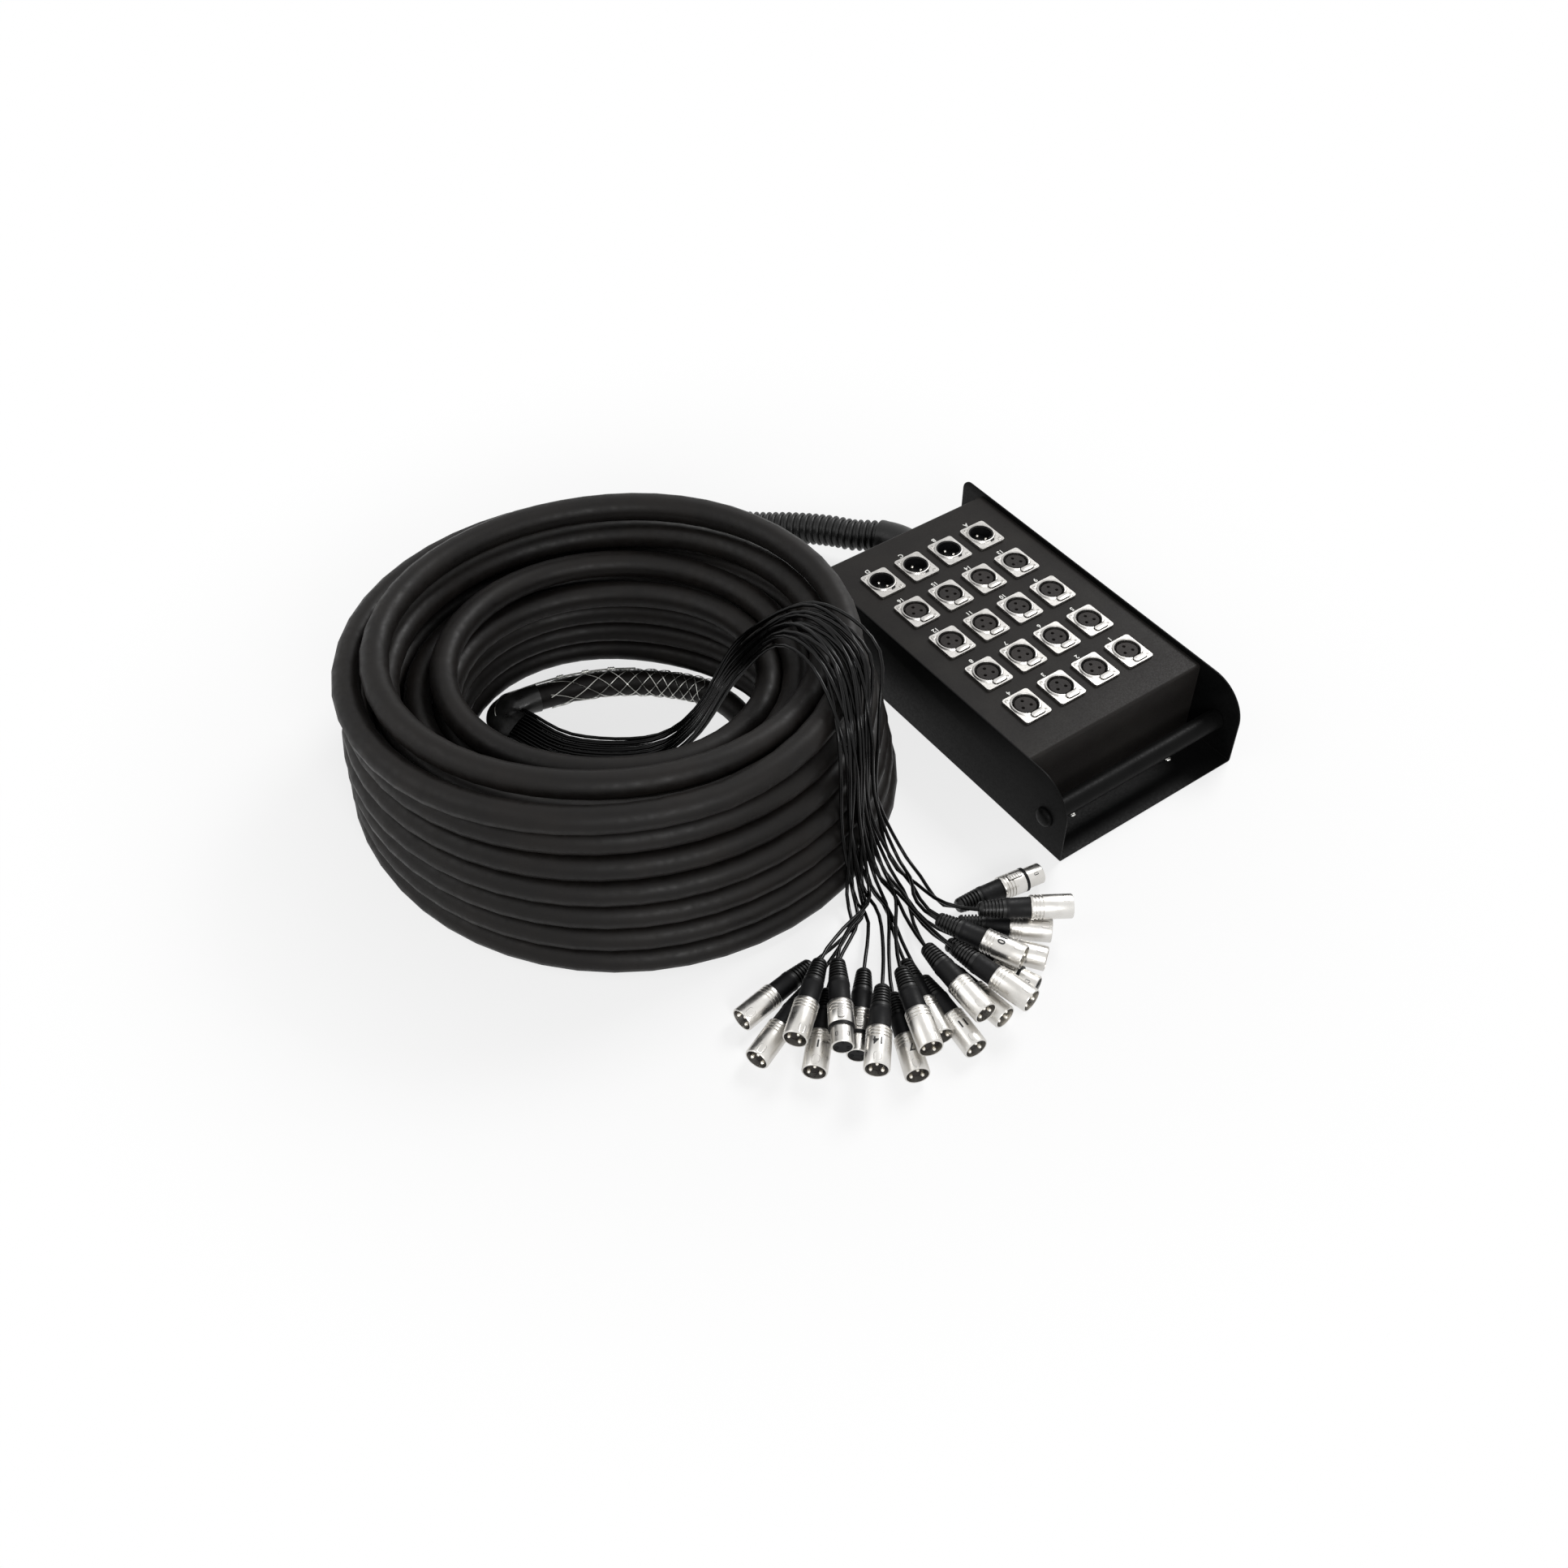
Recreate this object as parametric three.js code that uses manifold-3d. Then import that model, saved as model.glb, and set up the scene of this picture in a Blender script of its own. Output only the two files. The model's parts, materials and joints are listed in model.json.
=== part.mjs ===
// Stage box with its multicore snake: a steel box with sixteen inputs and four returns,
// a ribbed conduit, a coil of multicore, a breakout boot and twenty tails with their plugs.
// Millimetres. The origin is at the centre of the box's underside, +X is the side of input 1,
// +Y is the cable side and +Z is up. The handle side faces -Y, and all of it rests on z = 0.
import * as THREE from "three";
import { mergeVertices } from "three/addons/utils/BufferGeometryUtils.js";
import Module from "manifold-3d";

const wasm = await Module();
wasm.setup();

// Shared fits
const fit = 0.3; // air between pieces that touch
const overrun = 2; // how far a cutter runs past the face that it opens
const overlap = 1; // how deep pieces of one solid run into each other
const mergeReach = 1e-4; // vertices closer than this are one
const pinSides = 6;
const boltSides = 12;
const barSides = 14;
const sheetArcSteps = 2;
const cheekArcSteps = 4;

// Box: a folded tray with a folded panel between its cheeks
const trayWidth = 185;
const trayHeight = 74.2;
const trayFrontY = -171.4;
const trayRearY = 171.4;
const traySteel = 1.5;
const trayBend = 2;
const cheekFrontCorner = 34;
const cheekRearCorner = 9.5;
const panelSteel = 1.5;
const panelBend = 3;
const panelTop = 70;
const panelFrontY = -123;
const panelRearY = 148;
const panelFoot = 12;

// Connector grid: rows run from the cable side to the handle side, columns from +X to -X
const columnPitch = 36;
const rowPitch = 45.3;
const gridCentreY = 12;
const columns = 4;
const rows = 5;

// Panel socket
const flangeWidth = 26;
const flangeLength = 31;
const flangeThickness = 2;
const flangeCorner = 2.5;
const boreShift = 1.5; // the bore sits towards the cable side of its flange
const bodyRadius = 11.4;
const bodyDepth = 20;
const socketSides = 8;
const rimHeight = 0.7;
const socketBore = 9.6;
const insertRadius = 7.2;
const insertDrop = 1;
const grooveDepth = 13;
const wellRadius = 8.6;
const wellDepth = 14;
const pinRadius = 1.2;
const pinCircle = 4.75;
const pinLength = 11;
const keyWidth = 3;
const keyDepth = 1.6;

// Release tab of an input socket
const tabWidth = 12;
const tabLength = 4.8;
const tabHeight = 1.7;
const tabProud = 1.3;
const tabFromFlangeCentre = 11.2;
const tabSideShift = 1.5;

// Handle bar and its bolts
const barRadius = 8.25;
const barY = -149.7;
const barZ = 32.5;
const boltShank = 3;
const boltReach = 16;
const boltHeadRadius = 8.2;
const boltHeadHeight = 4.4;
const boltRimHeight = 1.1;
const boltDomeRadius = 6.2;
const boltDomeHeight = 3.5;

// Cable outlet
const outletX = 22;
const outletZ = 36;
const sleeveBaseRadius = 15;
const sleeveTipRadius = 14.2;
const sleeveNeck = 13;
const sleeveBore = 11.75;
const sleeveSides = 10;
const sleeveStraight = 5; // straight run where a cable's pieces meet
const clampRadius = 17;
const clampLength = 7;
const loomRadius = 9;
const loomBranchRadius = 3;
const loomBendX = 13;
const loomSides = 6;

// Conduit
const conduitRadius = 14;
const conduitGroove = 12.9;
const conduitBore = 11.75;
const ribPitch = 6;
const ribSides = 8;
const ribsPerBoreRing = 5;

// Multicore
const cableDiameter = 21;
const cableSides = 6;
const stepsPerLoop = 16;
const leadDiameters = 4; // straight run before the first loop, in cable diameters
const coilCentre = new THREE.Vector2(-311, 105);
const coilLean = -8; // how far the top row's centre lies from the bottom row's, along X
const rowHeight = 21.7;
const crossoverRise = 6;
const topRow = 6;
const startTurn = 86 / 360;

// Radii of the four layers at the rows named in layerRows
const layerRows = [0, 3, 5, 7];
const layerRadii = [
  [201, 190, 178, 178],
  [177.5, 167.5, 154.5, 153],
  [154, 145, 132, 131],
  [130.5, 122.5, 109.5, 109],
  [109, 109, 109, 109],
];

// How far the loops swell by one, two and three waves a turn, on the floor and at the top
const floorSwell = [[-2, 0], [-4, -8], [1, -2]];
const topSwell = [[-4, -7], [5, -8], [-1, 0.5]];

// The winding, one stretch a line: turns, first row, last row, first layer, last layer. The
// outermost layer lies level and steps up a row near the end of each turn.
const steppedLayer = 0;
const stepStart = 0.7; // share of a turn that lies level
const winding = [
  [6, 0, 6, 0, 0],
  [0.5, 6, 6, 0, 0],
  [0.5, 6, 7, 0, 1],
  [4.9, 7, 0, 1, 1],
  [0.5, 0, 0, 1, 2],
  [4.4, 0, 5, 2, 2],
  [0.5, 5, 5, 2, 3],
  [4.17, 5, 0, 3, 3],
  [0.14, 0, 0, 3, 4],
];

// Route of the rubber sleeve from the rear wall, bending down and aside
const sleeveRoute = [
  [22, 164, 36],
  [18, 181, 34],
  [9, 196, 31.5],
  [-2, 209, 29],
];

// Route of the conduit from the sleeve's tip towards the first loop
const conduitRoute = [
  [-12, 224, 26],
  [-24, 241, 22],
  [-38, 259, 18],
  [-54, 277, 15],
  [-74, 297, 14.3],
  [-96, 312, 14.3],
  [-122, 323, 14.3],
];

// Free end of the multicore, on the floor inside the coil
const freeEndRoute = [
  [-214, 56, 10.8],
  [-208, 82, 10.8],
  [-207, 108, 10.8],
  [-214, 132, 10.8],
  [-230, 154, 10.8],
  [-250, 173, 10.8],
  [-276, 190, 10.8],
  [-305, 202, 10.8],
  [-332, 207, 12.3],
];
const gripFrom = 5;
const gripTo = 9;
const gripWall = 0.9;

// Breakout boot: a soft sleeve folded back on itself, round at the cable and flat at its mouth
const bootRoute = [
  [-354, 211, 13],
  [-364, 207, 14],
  [-368, 197, 14],
  [-363, 187, 13],
];
const bootRadius = 12;
const mouthHalfWidth = 18;
const mouthHalfHeight = 5.2;
const bootSides = 10;
const bootCollar = 10;

// Tails: the shared run of the bundle, one station a line. x, y, z, the side that
// lies away from the surface under it, and the spread of the tails there
const bundleRun = [
  [-361.9, 185.1, 11.1, 0, 0, 1, 1],
  [-342, 147, 3.5, 0, 0, 1, 1.05],
  [-283, 103, 4, -0.1, 0.1, 1, 1.05],
  [-254, 86, 32, -0.7, 0.6, 0.5, 1.05],
  [-230, 50, 122, -0.7, 0.6, 0.5, 1.1],
  [-207, 13, 167, -0.1, 0.1, 1, 1.25],
  [-206, -38, 171, 0.1, -0.2, 1, 1.25],
  [-224, -77, 144, 0.4, -0.85, 0.35, 1.2],
  [-225, -86, 60, 0.42, -0.9, 0.2, 1.35],
  [-222, -107, 3, 0, 0, 1, 1.5],
];
const tailDiameter = 2.8;
const tailSides = 6;
const tailPitch = 3.3;
const tailLayerRise = 3.1;
const fanPull = 23;
const bendSteps = 3;

// Tail plug
const plugBootLength = 20;
const plugBootTailRadius = 4.3;
const plugBootRadius = 7;
const plugBackLength = 17;
const plugBackRadius = 7.9;
const plugShellLength = 31;
const plugShellRadius = 9.2;
const plugWellRadius = 8;
const plugWellDepth = 11;
const plugSides = 8;
const noseRadius = 8;
const noseLength = 14;
const noseRing = 2;
const noseRingRadius = 9.3;
const noseDish = 2;
const noseDishRadius = 6.6;
const plugLatchLength = 11;
const plugLatchWidth = 4.4;
const plugLatchHeight = 2.6;
const plugLatchProud = 1;
const plugLatchTravel = 1.2;

// Ends of the tails in their fan, left to right, two to a column of the bundle, the lower
// tail first: x and y of the boot's end, heading in degrees, height of the plug's axis, and
// the return's letter or null for an input plug, and the pull of its bend if not the usual one
const floorAxis = 9.5;
const upperAxis = 28.4;
const tailEnds = [
  [-310, -145, -171, floorAxis, null],
  [-325, -162, -157, floorAxis, null],
  [-314, -171, -134, floorAxis, null],
  [-311, -158, -141, upperAxis, null],
  [-282, -172, -131, floorAxis, "b"],
  [-301, -165, -124, upperAxis, "a"],
  [-278, -201, -114, floorAxis, null],
  [-289, -201, -131, upperAxis, null],
  [-253, -183, -106, floorAxis, null],
  [-269, -197, -111, upperAxis, null],
  [-252, -202, -96, floorAxis, null],
  [-242, -192, -92, upperAxis, null],
  [-233, -194, -84, floorAxis, null],
  [-226, -204, -78, upperAxis, null],
  [-217, -188, -68, floorAxis, "c"],
  [-219, -177, -66, upperAxis, null],
  [-208, -185, -54, floorAxis, null],
  [-198, -177, -42, floorAxis, null],
  [-189, -165, -9, floorAxis, "d", 10],
  [-189, -187, -33, upperAxis, null],
];
const looms = { tails_left: [0, 8], tails_middle: [8, 14], tails_right: [14, 20] };

// Finishes
const finish = (color, roughness, metalness) =>
  new THREE.MeshStandardMaterial({ color, roughness, metalness });
const blackSteel = finish("#1b1b1c", 0.5, 0.3);
const panelPaint = finish("#3b3b3c", 0.55, 0.2);
const blackNylon = finish("#161617", 0.45, 0);
const nickel = finish("#c9c7c2", 0.28, 1);
const rubber = finish("#191919", 0.7, 0);
const blackSheath = finish("#151516", 0.5, 0);
const wire = finish("#a9a9a6", 0.35, 1);

const group = new THREE.Group();
group.name = "stage_box_snake";

// Turns a closed geometry into a solid.
function solid(geometry) {
  const bare = geometry.index ? geometry.toNonIndexed() : geometry.clone();
  bare.deleteAttribute("normal");
  bare.deleteAttribute("uv");
  const merged = mergeVertices(bare, mergeReach);
  return new wasm.Manifold(
    new wasm.Mesh({
      numProp: 3,
      vertProperties: merged.attributes.position.array,
      triVerts: new Uint32Array(merged.index.array),
    }),
  );
}

// Turns a solid back into a geometry.
function geometryOf(body) {
  const mesh = body.getMesh();
  return new THREE.BufferGeometry()
    .setAttribute("position", new THREE.BufferAttribute(mesh.vertProperties, 3))
    .setIndex(new THREE.BufferAttribute(mesh.triVerts, 1));
}

// Adds one named piece to the group.
function piece(name, geometry, material, parent = group) {
  geometry.computeVertexNormals();
  const mesh = new THREE.Mesh(geometry, material);
  mesh.name = name;
  parent.add(mesh);
  return mesh;
}

// A box between two corners.
function block(low, high) {
  const size = high.map((value, axis) => value - low[axis]);
  const middle = high.map((value, axis) => (value + low[axis]) / 2);
  return new THREE.BoxGeometry(...size).translate(...middle);
}

// A turned piece round +Z from [radius, height] points that start and end on the axis.
function turned(profile, sides) {
  const points = profile.map(([radius, height]) => new THREE.Vector2(radius, height));
  return new THREE.LatheGeometry(points, sides).rotateX(Math.PI / 2);
}

// A rod round +Z between two heights.
function rod(radius, low, high, sides) {
  return new THREE.CylinderGeometry(radius, radius, high - low, sides)
    .rotateX(Math.PI / 2)
    .translate(0, 0, (high + low) / 2);
}

// A rod along +X between two places.
function rodAlongX(radius, low, high, sides) {
  return rod(radius, low, high, sides).rotateY(Math.PI / 2);
}

// A ring of points as a shape, with an optional hole.
function roundSection(radius, sides, hole = 0) {
  const ring = (size) =>
    Array.from({ length: sides }, (_, i) => {
      const angle = (2 * Math.PI * i) / sides;
      return new THREE.Vector2(size * Math.cos(angle), size * Math.sin(angle));
    });
  const shape = new THREE.Shape(ring(radius));
  if (hole) shape.holes.push(new THREE.Path(ring(hole)));
  return shape;
}

// A route through stations, which an extrusion follows from one station to the next.
class Route extends THREE.Curve {
  constructor(stations) {
    super();
    this.stations = stations;
  }
  getPoint(share, target = new THREE.Vector3()) {
    const place = share * (this.stations.length - 1);
    const first = Math.min(Math.floor(place), this.stations.length - 2);
    return target.lerpVectors(this.stations[first], this.stations[first + 1], place - first);
  }
  getUtoTmapping(share) {
    return share;
  }
}

// A tube through stations.
function tube(stations, radius, sides, hole = 0) {
  return new THREE.ExtrudeGeometry(roundSection(radius, sides, hole), {
    steps: stations.length - 1,
    extrudePath: new Route(stations),
    curveSegments: 1,
  });
}

// Points of a route as vectors.
function vectors(points) {
  return points.map(([x, y, z]) => new THREE.Vector3(x, y, z));
}

// A closed skin over rings of equal count, with a flat cap at each end.
function skin(rings, closed = false) {
  const count = rings[0].length;
  const positions = rings.flat().flatMap((point) => [point.x, point.y, point.z]);
  const index = [];
  const last = closed ? rings.length : rings.length - 1;
  for (let ring = 0; ring < last; ring += 1) {
    const next = (ring + 1) % rings.length;
    for (let side = 0; side < count; side += 1) {
      const beside = (side + 1) % count;
      const [a, b] = [ring * count + side, ring * count + beside];
      const [c, d] = [next * count + side, next * count + beside];
      index.push(a, b, d, a, d, c);
    }
  }
  for (let side = 1; !closed && side < count - 1; side += 1) {
    const end = (rings.length - 1) * count;
    index.push(0, side + 1, side);
    index.push(end, end + side, end + side + 1);
  }
  return new THREE.BufferGeometry()
    .setAttribute("position", new THREE.Float32BufferAttribute(positions, 3))
    .setIndex(index);
}

// Direction of a route at each of its stations.
function headings(stations) {
  return stations.map((_, i) => {
    const before = stations[Math.max(i - 1, 0)];
    const after = stations[Math.min(i + 1, stations.length - 1)];
    return after.clone().sub(before).normalize();
  });
}

// A shape of the YZ plane, extruded along X about the middle.
function alongX(shape, width, curveSegments) {
  const basis = new THREE.Matrix4().makeBasis(
    new THREE.Vector3(0, 1, 0),
    new THREE.Vector3(0, 0, 1),
    new THREE.Vector3(1, 0, 0),
  );
  return new THREE.ExtrudeGeometry(shape, { depth: width, bevelEnabled: false, curveSegments })
    .applyMatrix4(basis)
    .translate(-width / 2, 0, 0);
}

// Outline of a cheek, seen from the side.
function cheekOutline() {
  const shape = new THREE.Shape();
  shape.moveTo(trayFrontY, 0);
  shape.lineTo(trayRearY, 0);
  shape.lineTo(trayRearY, trayHeight - cheekRearCorner);
  shape.absarc(
    trayRearY - cheekRearCorner,
    trayHeight - cheekRearCorner,
    cheekRearCorner,
    0,
    Math.PI / 2,
  );
  shape.lineTo(trayFrontY + cheekFrontCorner, trayHeight);
  shape.absarc(
    trayFrontY + cheekFrontCorner,
    trayHeight - cheekFrontCorner,
    cheekFrontCorner,
    Math.PI / 2,
    Math.PI,
  );
  return shape;
}

// Section of the folded tray, seen from the handle side.
function traySection() {
  const half = trayWidth / 2;
  const inner = half - traySteel;
  const insideBend = trayBend - traySteel;
  const shape = new THREE.Shape();
  shape.moveTo(-half, trayHeight + overrun);
  shape.lineTo(-half, trayBend);
  shape.absarc(-half + trayBend, trayBend, trayBend, Math.PI, 1.5 * Math.PI);
  shape.lineTo(half - trayBend, 0);
  shape.absarc(half - trayBend, trayBend, trayBend, 1.5 * Math.PI, 2 * Math.PI);
  shape.lineTo(half, trayHeight + overrun);
  shape.lineTo(inner, trayHeight + overrun);
  shape.lineTo(inner, trayBend);
  shape.absarc(half - trayBend, trayBend, insideBend, 0, -Math.PI / 2, true);
  shape.lineTo(-half + trayBend, traySteel);
  shape.absarc(-half + trayBend, trayBend, insideBend, 1.5 * Math.PI, Math.PI, true);
  shape.lineTo(-inner, trayHeight + overrun);
  return shape;
}

// The tray: bottom and both cheeks folded from one sheet.
function housingTray() {
  const length = trayRearY - trayFrontY + 2 * overrun;
  const basis = new THREE.Matrix4().makeBasis(
    new THREE.Vector3(1, 0, 0),
    new THREE.Vector3(0, 0, 1),
    new THREE.Vector3(0, -1, 0),
  );
  const folded = new THREE.ExtrudeGeometry(traySection(), {
    depth: length,
    bevelEnabled: false,
    curveSegments: sheetArcSteps,
  })
    .applyMatrix4(basis)
    .translate(0, trayRearY + overrun, 0);
  const sides = alongX(cheekOutline(), trayWidth + 2 * overrun, cheekArcSteps);
  const boltHole = rodAlongX(boltShank + fit, -trayWidth, trayWidth, boltSides);
  boltHole.translate(0, barY, barZ);
  return geometryOf(solid(folded).intersect(solid(sides)).subtract(solid(boltHole)));
}

// Section of the folded panel, seen from the side, with feet turned in on the tray.
function panelSection() {
  const low = traySteel + fit;
  const inside = panelBend - panelSteel;
  const shape = new THREE.Shape();
  shape.moveTo(panelFrontY + panelFoot, low);
  shape.lineTo(panelFrontY + panelFoot, low + panelSteel);
  shape.lineTo(panelFrontY + panelSteel, low + panelSteel);
  shape.lineTo(panelFrontY + panelSteel, panelTop - panelBend);
  shape.absarc(panelFrontY + panelBend, panelTop - panelBend, inside, Math.PI, Math.PI / 2, true);
  shape.lineTo(panelRearY - panelBend, panelTop - panelSteel);
  shape.absarc(panelRearY - panelBend, panelTop - panelBend, inside, Math.PI / 2, 0, true);
  shape.lineTo(panelRearY - panelSteel, low + panelSteel);
  shape.lineTo(panelRearY - panelFoot, low + panelSteel);
  shape.lineTo(panelRearY - panelFoot, low);
  shape.lineTo(panelRearY, low);
  shape.lineTo(panelRearY, panelTop - panelBend);
  shape.absarc(panelRearY - panelBend, panelTop - panelBend, panelBend, 0, Math.PI / 2);
  shape.lineTo(panelFrontY + panelBend, panelTop);
  shape.absarc(panelFrontY + panelBend, panelTop - panelBend, panelBend, Math.PI / 2, Math.PI);
  shape.lineTo(panelFrontY, low);
  return shape;
}

// Place of a socket's flange centre on the panel.
function socketPlace(row, column) {
  const x = ((columns - 1) / 2 - column) * columnPitch;
  const y = gridCentreY + ((rows - 1) / 2 - row) * rowPitch;
  return [x, y];
}

// All sockets, row by row: the returns first, then the inputs as they are numbered.
function socketList() {
  const list = [];
  for (let row = 0; row < rows; row += 1) {
    for (let column = 0; column < columns; column += 1) {
      const [x, y] = socketPlace(row, column);
      const isReturn = row === 0;
      const label = isReturn ? "abcd"[column] : (rows - 1 - row) * columns + column + 1;
      list.push({ x, y, isReturn, label });
    }
  }
  return list;
}

// The panel: top, front wall and rear wall folded from one sheet, with its cut-outs.
function connectorPanel() {
  const width = trayWidth - 2 * (traySteel + fit);
  let panel = solid(alongX(panelSection(), width, sheetArcSteps));
  const cutter = rod(bodyRadius + fit, panelTop - panelBend, panelTop + overrun, socketSides);
  for (const { x, y } of socketList()) {
    panel = panel.subtract(solid(cutter.clone().translate(x, y + boreShift, 0)));
  }
  const through = [panelRearY - panelSteel - overrun, panelRearY + overrun].map(
    (y) => new THREE.Vector3(outletX, y, outletZ),
  );
  const outlet = skin(ringsAlong(through, through.map(() => sleeveNeck + fit), sleeveSides));
  return geometryOf(panel.subtract(solid(outlet)));
}

// A socket's flange with its corners cut, about the flange centre.
function flangePlate() {
  const [x, y] = [flangeWidth / 2, flangeLength / 2];
  const shape = new THREE.Shape();
  shape.moveTo(-x + flangeCorner, -y);
  for (const [left, low] of [[1, -1], [1, 1], [-1, 1], [-1, -1]]) {
    const side = [left * x, low * (y - flangeCorner)];
    const end = [left * (x - flangeCorner), low * y];
    const turnsUp = left * low < 0;
    shape.lineTo(...(turnsUp ? end : side));
    shape.lineTo(...(turnsUp ? side : end));
  }
  return new THREE.ExtrudeGeometry(shape, { depth: flangeThickness, bevelEnabled: false });
}

// Size of the release tab's opening, about the flange centre.
function tabBlock(margin, low, high) {
  return block(
    [tabSideShift - tabWidth / 2 - margin, -tabFromFlangeCentre - tabLength / 2 - margin, low],
    [tabSideShift + tabWidth / 2 + margin, -tabFromFlangeCentre + tabLength / 2 + margin, high],
  );
}

// An input socket: a shell with a ring of air round a solid insert with three contacts.
// Heights count from the flange's underside.
function inputSocket() {
  const top = flangeThickness + rimHeight;
  const shell = turned(
    [
      [0, -bodyDepth],
      [bodyRadius, -bodyDepth],
      [bodyRadius, top],
      [0, top],
    ],
    socketSides,
  ).translate(0, boreShift, 0);
  const groove = turned(
    [
      [insertRadius, top - grooveDepth],
      [socketBore, top - grooveDepth],
      [socketBore, top + overrun],
      [0, top + overrun],
      [0, top - insertDrop],
      [insertRadius, top - insertDrop],
      [insertRadius, top - grooveDepth],
    ],
    socketSides,
  ).translate(0, boreShift, 0);
  const body = solid(flangePlate()).add(solid(shell)).subtract(solid(groove));
  return geometryOf(body.subtract(solid(tabBlock(fit, -fit, top + overrun))));
}

// The three contacts of a connector stand at these angles round its bore.
const pinAngles = [30, 150, 270].map(THREE.MathUtils.degToRad);

// A return socket: a well with three pins and a key, open upwards.
function returnSocket() {
  const top = flangeThickness + rimHeight;
  const floor = top - wellDepth;
  const shell = turned(
    [
      [0, -bodyDepth],
      [bodyRadius, -bodyDepth],
      [bodyRadius, top],
      [wellRadius, top],
      [wellRadius, floor],
      [0, floor],
    ],
    socketSides,
  ).translate(0, boreShift, 0);
  const opening = rod(wellRadius, floor, top + overrun, socketSides);
  opening.translate(0, boreShift, 0);
  let body = solid(flangePlate()).subtract(solid(opening)).add(solid(shell));
  for (const angle of pinAngles) {
    const pin = rod(pinRadius, floor - overlap, floor + pinLength, pinSides).translate(
      pinCircle * Math.cos(angle),
      boreShift + pinCircle * Math.sin(angle),
      0,
    );
    body = body.add(solid(pin));
  }
  const key = block(
    [-keyWidth / 2, boreShift - wellRadius - keyDepth / 2, floor - overlap],
    [keyWidth / 2, boreShift - wellRadius + keyDepth, top - keyDepth],
  );
  return geometryOf(body.add(solid(key)));
}

// The handle bar between the cheeks, tapped at both ends.
function handleBar() {
  const half = trayWidth / 2 - traySteel - fit;
  const bore = boltShank + fit;
  const depth = boltReach + fit;
  const bar = solid(rodAlongX(barRadius, -half, half, barSides));
  const left = solid(rodAlongX(bore, -half - overrun, -half + depth, boltSides));
  const right = solid(rodAlongX(bore, half - depth, half + overrun, boltSides));
  return geometryOf(bar.subtract(left).subtract(right)).translate(0, barY, barZ);
}

// A bolt with a domed head, its shank along -Z from the head's underside.
function handleBolt() {
  return turned(
    [
      [0, -traySteel - 2 * fit - boltReach + fit],
      [boltShank, -traySteel - 2 * fit - boltReach + fit],
      [boltShank, 0],
      [boltHeadRadius, 0],
      [boltHeadRadius, boltRimHeight],
      [boltDomeRadius, boltDomeHeight],
      [0, boltHeadHeight],
    ],
    boltSides,
  );
}

// Rings round a route, one for each station, with its radius there.
function ringsAlong(stations, radii, sides) {
  const ahead = headings(stations);
  return stations.map((point, i) => {
    const side = new THREE.Vector3(0, 0, 1).cross(ahead[i]).normalize();
    const up = ahead[i].clone().cross(side);
    return Array.from({ length: sides }, (_, k) => {
      const angle = (2 * Math.PI * k) / sides;
      return point
        .clone()
        .addScaledVector(side, radii[i] * Math.cos(angle))
        .addScaledVector(up, radii[i] * Math.sin(angle));
    });
  });
}

// The rubber sleeve at the outlet: a neck through the rear wall, then a bent, tapering hose.
function cableSleeve() {
  const inside = panelRearY - panelSteel - clampLength - 2 * fit;
  const neck = [inside, panelRearY + fit].map((y) => new THREE.Vector3(outletX, y, outletZ));
  const hose = vectors(sleeveRoute);
  const taper = hose.map((_, i) =>
    THREE.MathUtils.lerp(sleeveBaseRadius, sleeveTipRadius, (i + 1) / hose.length),
  );
  const line = [neck[0], neck[1], ...hose];
  const skinRings = ringsAlong(line, [sleeveNeck, sleeveNeck, ...taper], sleeveSides);
  const shoulder = ringsAlong(neck, [sleeveBaseRadius, sleeveBaseRadius], sleeveSides)[1];
  const boreRings = ringsAlong(line, line.map(() => sleeveBore), sleeveSides).reverse();
  const straightNeck = ringsAlong(neck, [sleeveNeck, sleeveNeck], sleeveSides);
  return skin([...straightNeck, shoulder, ...skinRings.slice(2), ...boreRings], true);
}

// The clamp ring that holds the sleeve's neck inside the box.
function outletClamp() {
  const outside = panelRearY - panelSteel - fit;
  const ends = [outside - clampLength + fit, outside].map(
    (y) => new THREE.Vector3(outletX, y, outletZ),
  );
  const outer = ringsAlong(ends, [clampRadius, clampRadius], sleeveSides);
  const bore = sleeveNeck + fit;
  return skin([...outer, ...ringsAlong(ends, [bore, bore], sleeveSides).reverse()], true);
}

// The wiring inside the box: a trunk from the outlet and a branch under each row of sockets.
function innerLoom() {
  const underside = panelTop + fit - bodyDepth - fit - loomBranchRadius;
  const [, lastRow] = socketPlace(rows - 1, 0);
  const trunkEnd = panelRearY - panelSteel - clampLength;
  const trunk = vectors([
    [0, lastRow, underside],
    [0, socketPlace(1, 0)[1], underside],
    [loomBendX, socketPlace(0, 0)[1], underside - 2 * loomBranchRadius],
    [outletX, trunkEnd - loomRadius, outletZ],
    [outletX, trunkEnd + overlap, outletZ],
  ]);
  let body = solid(tube(trunk, loomBranchRadius * 2, loomSides));
  for (let row = 0; row < rows; row += 1) {
    const [reach, y] = socketPlace(row, 0);
    const branch = rodAlongX(loomBranchRadius, -reach, reach, loomSides);
    body = body.add(solid(branch.translate(0, y, underside)));
  }
  return geometryOf(body);
}

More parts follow.
